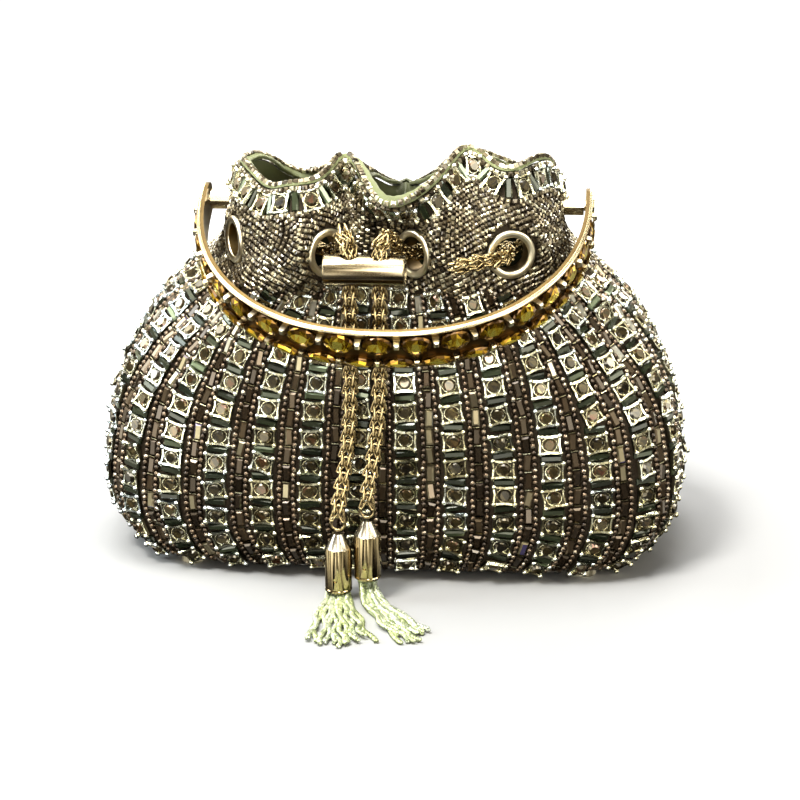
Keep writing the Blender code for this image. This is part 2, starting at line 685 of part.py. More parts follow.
def build_slider():
    """Barrel stopper with an upright bore for each end of the chain."""
    half = SLIDER_LENGTH / 2.0
    centre = (SLIDER_X, SLIDER_Y, SLIDER_Z)
    face = SLIDER_RADIUS - SLIDER_CHAMFER
    profile = ((0.0, half), (face, half), (SLIDER_RADIUS, half - SLIDER_CHAMFER),
               (SLIDER_RADIUS, SLIDER_CHAMFER - half), (face, -half), (0.0, -half))
    slider = turned("slider", profile, pale_gold(), place(centre, (1.0, 0.0, 0.0)), steps=20)
    for side in (-1.0, 1.0):
        spot = (SLIDER_X + side * STRAND_SPACING / 2.0, SLIDER_Y, SLIDER_Z)
        matrix = Matrix.Translation(Vector(spot) * MM)
        reach = SLIDER_RADIUS + 2.0
        bore = solid_cutter(f"slider_bore_{'left' if side < 0 else 'right'}",
                            CHAIN_RADIUS + SLIDER_BORE_CLEARANCE, -reach, reach, matrix)
        cut(slider, bore)
    return slider


def build_chain():
    """The drawstring in the eyelets, its tail and the two strands that hang from the slider."""
    spacing = 5.0 * CHAIN_RADIUS
    for name, route, step in (("drawstring_chain", DRAWSTRING_ROUTE, 0.5 * spacing),
                              ("chain_tail", TAIL_ROUTE, 0.5 * spacing),
                              ("chain_left", LEFT_STRAND_ROUTE, spacing),
                              ("chain_right", RIGHT_STRAND_ROUTE, spacing)):
        tube(name, smooth_route(route, step), CHAIN_RADIUS, pale_gold(), resolution=1)


def build_cap(side, foot):
    """Bell cap open below, with the ring that hangs it on the chain."""
    inner = CAP_RADIUS - CAP_WALL
    body = CAP_BODY
    profile = ((0.0, body + CAP_CONE), (CAP_TOP_RADIUS, body + CAP_CONE), (CAP_RADIUS, body),
               (CAP_RADIUS, 0.0), (inner, 0.0), (inner, CAP_BORE_DEPTH), (0.0, CAP_BORE_DEPTH))
    turned(f"tassel_cap_{side}", profile, pale_gold(),
           Matrix.Translation(Vector(foot) * MM), steps=16)
    wire = RING_WIRE_RADIUS
    circle = [(RING_RADIUS + wire * math.cos(a), wire * math.sin(a))
              for a in (math.radians(90.0 - 60.0 * k) for k in range(6))]
    rise = body + CAP_CONE + GAP + RING_RADIUS + wire
    centre = Vector(foot) + Vector((0.0, 0.0, rise))
    turned(f"chain_ring_{side}", circle, pale_gold(), place(centre, (0.0, 1.0, 0.0)),
           closed=True, steps=12)


def build_tassel(side, foot, sections):
    """Fringe of fine chain, gathered in its cap and spread on the ground."""
    top = (foot[0], foot[1], foot[2] + TASSEL_IN_CAP, sections[0][3], sections[0][4])
    run = (top,) + sections
    points = []
    for index, (x, y, z, width, thickness) in enumerate(run):
        before = Vector(run[max(index - 1, 0)][:3])
        after = Vector(run[min(index + 1, len(run) - 1)][:3])
        heading = (after - before).normalized()
        across = heading.cross(Vector((0.0, heading.z, -heading.y))).normalized()
        up = heading.cross(across).normalized()
        for k in range(TASSEL_SIDES):
            angle = 2.0 * math.pi * k / TASSEL_SIDES
            spot = (Vector((x, y, z)) + across * (0.5 * width * math.cos(angle))
                    + up * (0.5 * thickness * math.sin(angle)))
            points.append(spot)
    sides = TASSEL_SIDES
    faces = loft_faces([sides] * len(run), [k * sides for k in range(len(run))])
    faces += [list(range(sides - 1, -1, -1)),
              list(range(sides * (len(run) - 1), sides * len(run)))]
    mesh = mesh_from(f"tassel_{side}", points, faces)
    face_outwards(mesh)
    add_object(f"tassel_{side}", mesh, satin())


def face_outwards(mesh):
    shape = bmesh.new()
    shape.from_mesh(mesh)
    bmesh.ops.recalc_face_normals(shape, faces=shape.faces)
    shape.to_mesh(mesh)
    shape.free()


def handle_line(count):
    """Evenly spaced points and outward directions along the arch, from right to left."""
    angle = np.linspace(0.0, math.pi, 1441)
    x = HANDLE_HALF_WIDTH * np.sign(np.cos(angle)) * np.abs(np.cos(angle)) ** (2.0 / HANDLE_POWER)
    y = -HANDLE_REACH * np.abs(np.sin(angle)) ** (2.0 / HANDLE_POWER)
    run = np.concatenate(([0.0], np.cumsum(np.hypot(np.diff(x), np.diff(y)))))

    def at(marks):
        spots = np.column_stack((np.interp(marks, run, x), np.interp(marks, run, y)))
        nearby = np.column_stack((np.interp(marks + 0.5, run, x) - np.interp(marks - 0.5, run, x),
                                  np.interp(marks + 0.5, run, y) - np.interp(marks - 0.5, run, y)))
        along = nearby / np.linalg.norm(nearby, axis=1, keepdims=True)
        outward = np.column_stack((-along[:, 1], along[:, 0]))
        return spots, along, outward

    return run[-1], at, np.linspace(0.0, run[-1], count)


def stone_points(length, width, sides, spot, along, outward, across_place):
    """Bed, girdle and table rings of one faceted stone in the handle's channel."""
    along3 = np.array((*along, 0.0))
    outward3 = np.array((*outward, 0.0))
    middle = np.array((*spot, 0.0)) + np.array((0.0, 0.0, across_place))
    rings = ((BAND_THICKNESS - STONE_BED, 1.0), (BAND_THICKNESS + STONE_GIRDLE, 1.0),
             (BAND_THICKNESS + STONE_HEIGHT, STONE_TABLE))
    points = []
    for height, scale in rings:
        for k in range(sides):
            angle = 2.0 * math.pi * k / sides
            points.append(middle + outward3 * height
                          + along3 * (0.5 * scale * length * math.cos(angle))
                          + np.array((0.0, 0.0, 0.5 * scale * width * math.sin(angle))))
    return points


def build_stones(total, at):
    """One mesh of all the handle's stones: a row of ovals over a row of marquises."""
    channel = BAND_WIDTH / 2.0 - RAIL_WIDTH - STONE_MARGIN
    rows = ((OVAL_COUNT, OVAL_LENGTH, OVAL_WIDTH, 8, channel - OVAL_WIDTH / 2.0),
            (OVAL_COUNT + 1, MARQUISE_LENGTH, MARQUISE_WIDTH, 6, MARQUISE_WIDTH / 2.0 - channel))
    points, faces = [], []
    for count, length, width, sides, across_place in rows:
        marks = total / 2.0 + (np.arange(count) - (count - 1) / 2.0) * STONE_PITCH
        for spot, along, outward in zip(*at(marks)):
            first = len(points)
            points += stone_points(length, width, sides, spot, along, outward, across_place)
            faces += loft_faces([sides] * 3, [first + k * sides for k in range(3)])
            faces += [list(range(first + sides - 1, first - 1, -1)),
                      list(range(first + 2 * sides, first + 3 * sides))]
    mesh = mesh_from("handle_stones", points, faces)
    face_outwards(mesh)
    return mesh


def build_handle():
    """Rigid arch: a railed band with two rows of stones and an eye at each end."""
    total, at, marks = handle_line(HANDLE_STATIONS)
    spots, _, outwards = at(marks)
    tail = [HANDLE_TAIL * k / 3.0 for k in (3, 2, 1)]
    end = BAND_END_WIDTH / 2.0
    stations = []
    for sign, order in ((1.0, tail), (-1.0, tail[::-1])):
        ends = [((sign * HANDLE_HALF_WIDTH, rise), (sign, 0.0),
                 2.0 * math.sqrt(max(end ** 2 - rise ** 2, 0.0))) for rise in order]
        if sign > 0:
            stations += ends
            for spot, outward, mark in zip(spots, outwards, marks):
                share = min(1.0, 4.0 * min(mark, total - mark) / total)
                width = BAND_END_WIDTH + (BAND_WIDTH - BAND_END_WIDTH) * share
                stations.append((tuple(spot), tuple(outward), width))
        else:
            stations += ends
    low, high = BAND_THICKNESS, BAND_THICKNESS + RAIL_HEIGHT
    points = []
    for spot, outward, width in stations:
        half = width / 2.0
        lip = half - RAIL_WIDTH
        for across, rise in ((-half, 0.0), (-half, high), (-lip, high), (-lip, low),
                             (lip, low), (lip, high), (half, high), (half, 0.0)):
            points.append((spot[0] + outward[0] * rise, spot[1] + outward[1] * rise, across))
    faces = loft_faces([8] * len(stations), [8 * k for k in range(len(stations))])
    last = 8 * (len(stations) - 1)
    faces += [list(range(7, -1, -1)), list(range(last, last + 8))]
    mesh = mesh_from("handle", points, faces)
    face_outwards(mesh)
    matrix = (Matrix.Translation(Vector((0.0, PIVOT_Y, PIVOT_Z)) * MM)
              @ Matrix.Rotation(HANDLE_REST, 4, "X"))
    handle = add_object("handle", mesh, amber(), matrix)
    stones = add_object("handle_stones", build_stones(total, at), amber(), matrix, CUTTERS)
    stones.hide_render = True
    stones.display_type = "WIRE"
    join = handle.modifiers.new("set_stones", "BOOLEAN")
    join.operation = "UNION"
    join.object = stones
    reach = HANDLE_HALF_WIDTH + BAND_THICKNESS + RAIL_HEIGHT + 5.0
    eye = solid_cutter("handle_eyes", PIVOT_SHANK_RADIUS + PIVOT_BORE_CLEARANCE, -reach, reach,
                       place((0.0, PIVOT_Y, PIVOT_Z), (1.0, 0.0, 0.0)))
    cut(handle, eye)
    return handle


def build_pivots(shell, lining):
    """Shoulder screw, post and nut that carry the handle on each side."""
    bore = PIVOT_SHANK_RADIUS + PIVOT_BORE_CLEARANCE
    depth = WALL + LINING_GAP + LINING_WALL
    for (centre, axis), side in zip(pivot_frames(), ("right", "left")):
        matrix = place(centre, axis)
        reach = HANDLE_HALF_WIDTH - abs(centre[0])
        head = reach + BAND_THICKNESS + PIVOT_GAP
        nut = -depth - SEAT_TRIM - GAP
        foot = nut - NUT_HEIGHT
        end = foot - 0.5
        screw_profile = ((0.0, head + PIVOT_HEAD_HEIGHT),
                         (PIVOT_HEAD_RADIUS - 0.5, head + PIVOT_HEAD_HEIGHT),
                         (PIVOT_HEAD_RADIUS, head), (PIVOT_SHANK_RADIUS, head),
                         (PIVOT_SHANK_RADIUS, end), (0.0, end))
        post_profile = ((bore, reach - PIVOT_GAP), (POST_RADIUS, reach - PIVOT_GAP),
                        (POST_RADIUS, SEAT_TRIM + GAP), (bore, SEAT_TRIM + GAP))
        nut_profile = ((bore, nut), (NUT_RADIUS, nut), (NUT_RADIUS, foot), (bore, foot))
        turned(f"pivot_screw_{side}", screw_profile, pale_gold(), matrix)
        turned(f"pivot_post_{side}", post_profile, pale_gold(), matrix, closed=True)
        turned(f"pivot_nut_{side}", nut_profile, pale_gold(), matrix, closed=True)
        hole = seat_cutter(f"pivot_hole_{side}", POST_RADIUS + GAP, bore, NUT_RADIUS + GAP,
                           reach / 2.0, depth, end - GAP, matrix)
        cut(shell, hole)
        cut(lining, hole)


def centre_on_origin():
    """Move everything so that the box of the pouch, without its cords, is centred on the origin."""
    bpy.context.view_layer.update()
    graph = bpy.context.evaluated_depsgraph_get()
    spots = []
    for part in PARTS.objects:
        if part.name.startswith(CORD_PREFIXES):
            continue
        shape = part.evaluated_get(graph)
        spots += [part.matrix_world @ vertex.co for vertex in shape.to_mesh().vertices]
        shape.to_mesh_clear()
    for axis in (0, 1):
        middle = 0.5 * (min(s[axis] for s in spots) + max(s[axis] for s in spots))
        for part in list(PARTS.objects) + list(CUTTERS.objects):
            part.location[axis] -= middle


def main():
    clear_scene()
    grid, normals, lean = wall_surface()
    shell = build_shell(grid, normals, lean)
    lining = build_lining(grid, normals, lean)
    board = build_board()
    build_feet(shell, board)
    build_eyelets(shell, lining)
    build_binding(grid, normals)
    build_slider()
    build_chain()
    for side, foot, sections in (("left", LEFT_CAP_FOOT, LEFT_TASSEL),
                                 ("right", RIGHT_CAP_FOOT, RIGHT_TASSEL)):
        build_cap(side, foot)
        build_tassel(side, foot, sections)
    build_handle()
    build_pivots(shell, lining)
    centre_on_origin()


clear_scene()
PARTS = new_collection(COLLECTION_NAME)
CUTTERS = new_collection(CUTTER_COLLECTION_NAME)
main()
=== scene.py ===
"""Looks of the gathered evening pouch: a stone-set shell, a chain drawstring and an arch handle.

Lengths in the tables are in millimetres, as in the part's own source. +Z is up and the front of
the pouch faces -Y.
"""

import math

import bmesh
import bpy
import numpy as np
from bpy.props import FloatProperty, FloatVectorProperty, IntProperty, PointerProperty
from mathutils import Matrix, Vector


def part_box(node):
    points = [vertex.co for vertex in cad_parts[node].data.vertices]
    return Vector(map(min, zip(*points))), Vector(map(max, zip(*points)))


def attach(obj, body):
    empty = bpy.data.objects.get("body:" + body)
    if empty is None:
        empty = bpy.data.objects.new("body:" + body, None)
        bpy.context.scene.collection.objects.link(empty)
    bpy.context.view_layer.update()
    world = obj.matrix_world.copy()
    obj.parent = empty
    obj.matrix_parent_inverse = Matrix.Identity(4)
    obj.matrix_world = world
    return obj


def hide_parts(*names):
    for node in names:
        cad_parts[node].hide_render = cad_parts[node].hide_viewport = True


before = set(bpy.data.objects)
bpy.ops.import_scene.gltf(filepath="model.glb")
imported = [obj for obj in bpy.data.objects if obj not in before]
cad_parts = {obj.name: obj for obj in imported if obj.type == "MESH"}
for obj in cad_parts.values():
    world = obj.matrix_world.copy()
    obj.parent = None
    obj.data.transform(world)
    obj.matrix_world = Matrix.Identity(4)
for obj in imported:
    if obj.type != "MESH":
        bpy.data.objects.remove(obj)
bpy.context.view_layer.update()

bl_info = {
    "name": "Potli pouch looks",
    "version": (1, 0, 0),
    "blender": (4, 5, 0),
    "location": "3D View > Sidebar > Potli",
    "description": "Dresses the packed pouch with its stones, chains, lining and handle",
    "category": "Object",
}

MM = 0.001
BOARD_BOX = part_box("base_board")
SHIFT = np.array((0.0, 500.0 * (BOARD_BOX[0].y + BOARD_BOX[1].y), 0.0))

# Clearances and wall, as in the part
GAP = 0.3
LINING_GAP = 0.45
FOOT_HEIGHT = 3.0
BOARD_THICKNESS = 2.0
WALL = 1.6
LINING_WALL = 0.8
COLUMNS = 32
POINTS_PER_COLUMN = 3
COLUMN_RELIEF = 0.9
LINING_SLACK = 7.5
LINING_ROWS = (3, 5, 6)
LINING_CLOSE_ROW = 7
UNDERSIDE = FOOT_HEIGHT + GAP
PLAN_LEVELS = (
    (0.0, 84.0, 39.0, 5.0, 0.0),
    (2.2, 88.5, 42.5, 5.0, 0.0),
    (9.0, 95.5, 46.5, 4.2, 0.0),
    (21.0, 101.5, 49.5, 3.6, 0.0),
    (38.0, 102.0, 50.0, 3.2, 0.0),
    (57.0, 98.5, 48.8, 2.9, 0.03),
    (74.0, 93.5, 46.5, 2.7, 0.12),
    (88.0, 86.5, 44.0, 2.4, 0.32),
    (98.0, 77.0, 41.5, 2.15, 0.60),
    (105.0, 67.5, 39.5, 2.15, 0.86),
    (111.7, 58.5, 38.0, 2.4, 1.0),
)
CINCH_HEIGHT = UNDERSIDE + PLAN_LEVELS[-1][0]
RUFFLE_STEPS = (0.3, 0.65, 1.0)
PIVOT_SIDE = 58.0
GATHERS = (
    (0.000, -5.0, -28.5, -3.0, -45.0, 16.0),
    (0.018, 3.5, -30.5, 4.0, -46.0, 16.8),
    (0.035, 10.0, -36.5, 10.5, -45.0, 18.5),
    (0.052, 15.8, -42.8, 16.5, -40.5, 22.5),
    (0.070, 21.5, -46.5, 22.0, -31.0, 28.5),
    (0.095, 28.5, -42.0, 26.0, -20.5, 34.0),
    (0.122, 33.5, -36.0, 31.5, -21.0, 28.0),
    (0.150, 41.5, -34.5, 39.0, -28.5, 25.0),
    (0.182, 50.5, -29.0, 46.5, -21.0, 26.5),
    (0.215, 56.5, -15.0, 53.0, -6.0, 27.5),
    (0.240, PIVOT_SIDE, -4.0, 56.5, 2.0, 21.0),
    (0.262, PIVOT_SIDE, 4.0, 57.0, 8.0, 18.5),
    (0.290, 56.5, 15.0, 54.0, 18.0, 17.0),
    (0.310, 52.5, 24.0, 49.0, 28.0, 15.0),
    (0.332, 45.0, 30.5, 41.5, 33.0, 16.0),
    (0.360, 37.0, 32.5, 32.5, 27.0, 20.5),
    (0.385, 29.5, 29.5, 25.0, 14.0, 25.5),
    (0.410, 22.5, 31.5, 19.0, 19.0, 20.5),
    (0.440, 14.0, 35.5, 13.0, 35.0, 12.5),
    (0.470, 6.5, 38.5, 7.0, 46.5, 6.8),
    (0.500, 0.0, 39.0, 0.0, 50.0, 5.0),
    (0.530, -6.5, 38.5, -7.0, 46.5, 6.8),
    (0.560, -14.0, 35.5, -12.0, 34.0, 12.5),
    (0.590, -22.5, 31.5, -15.5, 18.5, 19.0),
    (0.615, -29.5, 29.5, -19.0, 11.5, 22.0),
    (0.640, -37.0, 32.5, -28.0, 22.0, 15.0),
    (0.668, -45.0, 30.5, -39.5, 31.0, 13.0),
    (0.690, -52.5, 24.0, -46.5, 25.5, 17.5),
    (0.710, -56.5, 15.0, -51.5, 14.5, 23.5),
    (0.738, -PIVOT_SIDE, 4.0, -56.0, 7.0, 22.0),
    (0.765, -PIVOT_SIDE, -8.5, -54.5, -3.0, 23.5),
    (0.800, -53.0, -20.5, -50.0, -13.0, 22.0),
    (0.835, -44.0, -34.5, -41.0, -26.5, 17.5),
    (0.868, -35.5, -44.0, -34.0, -33.0, 21.0),
    (0.900, -27.5, -44.5, -25.0, -35.0, 21.5),
    (0.930, -20.0, -37.8, -19.0, -28.0, 24.0),
    (0.965, -13.0, -31.0, -15.0, -14.5, 30.5),
)
EYELET_SHARES = (0.035, 0.150, 0.332, 0.440, 0.560, 0.668, 0.800, 0.930)
EYELET_RADIUS = 8.3
EYELET_HOLE_RADIUS = 5.8
EYELET_BARREL_RADIUS = 6.5
EYELET_ROLL = 1.6
SEAT_MARGIN = 1.6
SEAT_BLEND = 5.0
SEAT_TRIM = 0.1
SEAT_SHARE = 0.06
RELAXED_LEVELS = 5
RELAX_TURNS = 4
BINDING_HEIGHT = 2.4
BINDING_OVERLAP = 0.4
BINDING_GAP = 0.7
CHAIN_RADIUS = 2.7
STRAND_SPACING = 9.8
SLIDER_RADIUS = 5.3
SLIDER_LENGTH = 27.0
SLIDER_X = -5.5
SLIDER_Y = -53.0
SLIDER_Z = 112.6
SLIDER_BORE_CLEARANCE = 0.5
RING_RADIUS = 2.4
RING_WIRE_RADIUS = 0.6
CAP_RADIUS = 4.6
CAP_BODY = 16.0
CAP_CONE = 5.0
CAP_TOP_RADIUS = 1.6
CAP_WALL = 0.7
LEFT_CAP_FOOT = (-14.0, -62.0, 3.2)
RIGHT_CAP_FOOT = (-4.2, -60.6, 7.6)
LEFT_TASSEL = (
    (-14.0, -62.0, 3.8, 6.8, 6.4),
    (-14.0, -63.2, 1.9, 7.6, 3.2),
    (-13.7, -67.0, 1.35, 9.5, 2.2),
    (-12.8, -76.0, 1.4, 14.0, 2.4),
    (-10.5, -90.0, 1.35, 20.0, 2.2),
    (-8.0, -101.0, 1.3, 24.0, 2.0),
)
RIGHT_TASSEL = (
    (-4.2, -60.6, 8.2, 6.8, 6.4),
    (-4.0, -61.2, 5.5, 6.4, 5.0),
    (-3.0, -63.8, 2.7, 7.0, 3.4),
    (-0.5, -69.0, 1.5, 8.5, 2.5),
    (6.0, -80.0, 1.5, 11.0, 2.5),
    (16.5, -95.0, 1.4, 15.0, 2.2),
)
DRAWSTRING_ROUTE = (
    (-10.4, -53.0, 112.6), (-10.4, -53.0, 117.5), (-11.2, -51.8, 121.6), (-13.2, -48.0, 122.6),
    (-14.6, -42.6, 119.4), (-16.1, -39.2, 116.4), (-18.1, -36.0, 115.2), (-23.8, -31.3, 114.6),
    (-28.8, -29.6, 114.2), (-34.0, -28.0, 114.0), (-40.0, -22.5, 114.0), (-44.5, -14.5, 114.0),
    (-49.0, -6.0, 114.0), (-50.5, 3.0, 114.0), (-47.0, 13.0, 114.0), (-42.4, 22.0, 114.2),
    (-43.0, 26.6, 114.6), (-45.0, 30.5, 115.0), (-47.6, 35.6, 115.0), (-45.0, 40.2, 115.0),
    (-37.0, 42.0, 115.0), (-28.0, 42.0, 115.0), (-20.5, 43.4, 115.0), (-16.2, 40.8, 115.0),
    (-14.0, 35.5, 115.0), (-11.2, 29.2, 114.6), (-5.5, 25.8, 114.2), (0.0, 25.0, 114.2),
    (5.5, 25.8, 114.2), (11.2, 29.2, 114.6), (14.0, 35.5, 115.0), (16.2, 40.8, 115.0),
    (20.5, 43.4, 115.0), (28.0, 42.0, 115.0), (37.0, 42.0, 115.0), (45.0, 40.2, 115.0),
    (47.6, 35.6, 115.0), (45.0, 30.5, 115.0), (43.0, 26.6, 114.6), (42.4, 22.0, 114.2),
    (47.0, 13.0, 114.0), (50.5, 3.0, 114.0), (50.0, -8.0, 114.0), (45.5, -18.5, 114.0),
    (38.0, -23.8, 114.0), (28.5, -25.5, 114.0), (20.0, -27.5, 114.2), (14.6, -31.6, 114.6),
    (8.2, -34.7, 115.2), (5.9, -38.3, 116.4), (3.9, -42.2, 119.4), (2.2, -47.6, 122.6),
    (0.2, -51.8, 121.6), (-0.6, -53.0, 117.5), (-0.6, -53.0, 112.6),
)
TAIL_ROUTE = ((40.5, -30.1, 115.0), (40.6, -35.0, 115.0), (40.0, -39.5, 115.2),
              (36.8, -43.1, 115.2), (31.2, -46.7, 114.8), (25.2, -51.1, 114.2))
LEFT_STRAND_ROUTE = ((-10.4, -53.0, 112.2), (-10.4, -53.0, 96.0), (-10.4, -53.1, 80.0),
                     (-10.6, -54.7, 62.0), (-12.0, -57.0, 46.0), (-13.5, -60.4, 36.0),
                     (-13.9, -61.6, 31.0))
RIGHT_STRAND_ROUTE = ((-0.6, -53.0, 112.2), (-0.6, -53.0, 96.0), (-0.6, -53.1, 80.0),
                      (-0.9, -54.7, 64.0), (-2.2, -56.6, 51.0), (-3.7, -59.4, 41.0),
                      (-4.1, -60.4, 35.4))
HANDLE_STANDOFF = 8.6
HANDLE_HALF_WIDTH = PIVOT_SIDE + HANDLE_STANDOFF
HANDLE_REACH = 76.4
HANDLE_POWER = 2.25
BAND_WIDTH = 15.5
BAND_END_WIDTH = 12.0
BAND_THICKNESS = 1.6
RAIL_WIDTH = 1.5
RAIL_HEIGHT = 1.2
OVAL_COUNT = 15
STONE_PITCH = 13.9
STONE_MARGIN = 0.3
HANDLE_TAIL = 5.5
OVAL_LENGTH = 9.6
OVAL_WIDTH = 6.6
MARQUISE_LENGTH = 10.4
MARQUISE_WIDTH = 4.2
HANDLE_REST = math.radians(26.0)
PIVOT_Y = 4.0
PIVOT_Z = 124.0
PIVOT_SHARES = (0.262, 0.738)
PIVOT_SHANK_RADIUS = 2.0
PIVOT_BORE_CLEARANCE = 0.3
HANDLE_CLEARANCE = 3.0
HANDLE_HOLLOW = 14.0
POST_RADIUS = 3.6

# Camera of the photo: lengths in millimetres, the rest in pixels of an 800 pixel frame
CAMERA_HEIGHT = 75.0
CAMERA_TURN = math.radians(5.0)
CAMERA_RISE = math.radians(16.0)
CAMERA_DISTANCE = 620.0
FOCAL_PIXELS = 1712.7
DOWN_PIXELS = 62.1
ACROSS_PIXELS = 4.6
SENSOR_WIDTH = 36.0


def run_along(points):
    """Length of a line of points up to each of them."""
    steps = np.linalg.norm(np.diff(points, axis=0), axis=1)
    return np.concatenate(([0.0], np.cumsum(steps)))


def smooth_route(points, spacing):
    """Points at an even spacing on a smooth curve through the route's own points."""
    route = np.array(points, float)
    ends = np.vstack((2 * route[0] - route[1], route, 2 * route[-1] - route[-2]))
    dense = []
    for i in range(1, len(ends) - 2):
        a, b, c, d = ends[i - 1:i + 3]
        for s in np.linspace(0.0, 1.0, 24, endpoint=False):
            dense.append(0.5 * (2 * b + (c - a) * s + (2 * a - 5 * b + 4 * c - d) * s ** 2
                                + (3 * b - a - 3 * c + d) * s ** 3))
    dense.append(route[-1])
    dense = np.array(dense)
    run = run_along(dense)
    count = max(2, int(round(run[-1] / spacing)) + 1)
    marks = np.linspace(0.0, run[-1], count)
    return np.column_stack([np.interp(marks, run, dense[:, k]) for k in range(3)])


def ring_plan(half_width, half_depth, power, count):
    """Points evenly spaced round a rounded rectangle, from the front centre towards +X."""
    angle = np.linspace(0.0, 2.0 * math.pi, 1441)
    sine, cosine = np.sin(angle), np.cos(angle)
    x = half_width * np.sign(sine) * np.abs(sine) ** (2.0 / power)
    y = -half_depth * np.sign(cosine) * np.abs(cosine) ** (2.0 / power)
    run = run_along(np.column_stack((x, y)))
    marks = np.arange(count) * run[-1] / count
    return np.column_stack((np.interp(marks, run, x), np.interp(marks, run, y)))


def round_the_gathers(column, shares):
    """One column of the gathers as a smooth closed curve, read at the shares."""
    knots = np.array([row[0] for row in GATHERS])
    values = np.array([row[column] for row in GATHERS])
    knots = np.concatenate((knots[-2:] - 1.0, knots, knots[:2] + 1.0))
    values = np.concatenate((values[-2:], values, values[:2]))
    slopes = np.zeros_like(values)
    slopes[1:-1] = (values[2:] - values[:-2]) / (knots[2:] - knots[:-2])
    found = np.searchsorted(knots, shares, side="right") - 1
    width = knots[found + 1] - knots[found]
    s = (shares - knots[found]) / width
    return ((2 * s ** 3 - 3 * s ** 2 + 1) * values[found]
            + (s ** 3 - 2 * s ** 2 + s) * width * slopes[found]
            + (3 * s ** 2 - 2 * s ** 3) * values[found + 1]
            + (s ** 3 - s ** 2) * width * slopes[found + 1])


def wall_grid(count):
    """Rows of points up the wall, from the underside to the rim, without relief."""
    shares = np.arange(count) / count
    drawn = np.column_stack([round_the_gathers(c, shares) for c in (1, 2)])
    rim = np.column_stack([round_the_gathers(c, shares) for c in (3, 4, 5)])
    rim[:, 2] += CINCH_HEIGHT
    neck = ring_plan(*PLAN_LEVELS[-1][1:4], count)
    rows = []
    for rise, half_width, half_depth, power, gather in PLAN_LEVELS:
        plan = ring_plan(half_width, half_depth, power, count) + gather * (drawn - neck)
        rows.append(np.column_stack((plan, np.full(count, UNDERSIDE + rise))))
    cinch = rows[-1]
    for step in RUFFLE_STEPS:
        rows.append(cinch + (rim - cinch) * step)
    return np.array(rows)


def grid_normals(grid):
    """Outward normals of a grid of points."""
    around = np.roll(grid, -1, axis=1) - np.roll(grid, 1, axis=1)
    upward = np.gradient(grid, axis=0)
    normal = np.cross(around, upward)
    return normal / np.linalg.norm(normal, axis=2, keepdims=True)


def eyelet_frames():
    """Centre and outward axis of each eyelet, level with the ground."""
    count = 2000
    grid = wall_grid(count)
    cinch_row = len(PLAN_LEVELS) - 1
    frames = []
    for share in EYELET_SHARES:
        spot = int(round(share * count)) % count
        near = grid[cinch_row]
        along = near[(spot + 36) % count] - near[(spot - 36) % count]
        axis = np.array((along[1], -along[0], 0.0))
        frames.append((near[spot], axis / np.linalg.norm(axis)))
    return frames


def pivot_frames():
    """Centre on the wall and outward axis of each handle pivot."""
    return [(np.array((sign * PIVOT_SIDE, PIVOT_Y, PIVOT_Z)), np.array((sign, 0.0, 0.0)))
            for sign in (1.0, -1.0)]


def seat_cover(grid):
    """How far each point of the wall belongs to the flat seat of an eyelet or a pivot."""
    count = grid.shape[1]
    shares = np.arange(count) / count
    seats = [(c, a, s, EYELET_RADIUS + SEAT_MARGIN)
             for (c, a), s in zip(eyelet_frames(), EYELET_SHARES)]
    seats += [(c, a, s, POST_RADIUS + SEAT_MARGIN)
              for (c, a), s in zip(pivot_frames(), PIVOT_SHARES)]
    for centre, axis, share, radius in seats:
        offset = grid - centre
        height = offset @ axis
        flat = np.linalg.norm(offset - height[..., None] * axis, axis=2)
        apart = np.abs((shares - share + 0.5) % 1.0 - 0.5)
        cover = np.clip((radius + SEAT_BLEND - flat) / SEAT_BLEND, 0.0, 1.0)
        cover = cover * cover * (3.0 - 2.0 * cover) * (apart < SEAT_SHARE)
        yield cover, height, axis


def press_seats(grid):
    """Press the wall flat at its seats and relax the cloth round them."""
    first = len(PLAN_LEVELS) - RELAXED_LEVELS
    for turn in range(RELAX_TURNS):
        for cover, height, axis in seat_cover(grid):
            grid = grid - (cover * height)[..., None] * axis
        grid = hollow_for_handle(grid)
        around = 0.5 * (np.roll(grid, 1, axis=1) + np.roll(grid, -1, axis=1))
        moved = grid.copy()
        moved[first:] += 0.5 * (around[first:] - grid[first:])
        middle = slice(first, len(grid) - 1)
        upward = 0.5 * (moved[first - 1:-2] + moved[first + 1:])
        moved[middle] += 0.25 * (upward - moved[middle])
        grid = moved
    for cover, height, axis in seat_cover(grid):
        grid = grid - (cover * height)[..., None] * axis
    return grid


def hollow_for_handle(grid):
    """Draw the shoulders in where the resting handle lies over them."""
    sine, cosine = math.sin(HANDLE_REST), math.cos(HANDLE_REST)
    back, rise = grid[..., 1] - PIVOT_Y, grid[..., 2] - PIVOT_Z
    out = -back * cosine - rise * sine
    above = rise * cosine - back * sine
    across = np.abs(grid[..., 0]) / (HANDLE_HALF_WIDTH - HANDLE_CLEARANCE)
    along = np.clip(out, 0.0, None) / (HANDLE_REACH - HANDLE_CLEARANCE)
    reach = (across ** HANDLE_POWER + along ** HANDLE_POWER) ** (1.0 / HANDLE_POWER)
    near = np.clip(1.0 - (np.abs(above) - BAND_WIDTH / 2.0) / HANDLE_HOLLOW, 0.0, 1.0)
    near = near * near * (3.0 - 2.0 * near) * (out > 0.0)
    scale = 1.0 + near * (1.0 / np.maximum(reach, 1.0) - 1.0)
    moved = grid.copy()
    moved[..., 0] *= scale
    shift = out * (scale - 1.0)
    moved[..., 1] -= shift * cosine
    moved[..., 2] -= shift * sine
    return moved


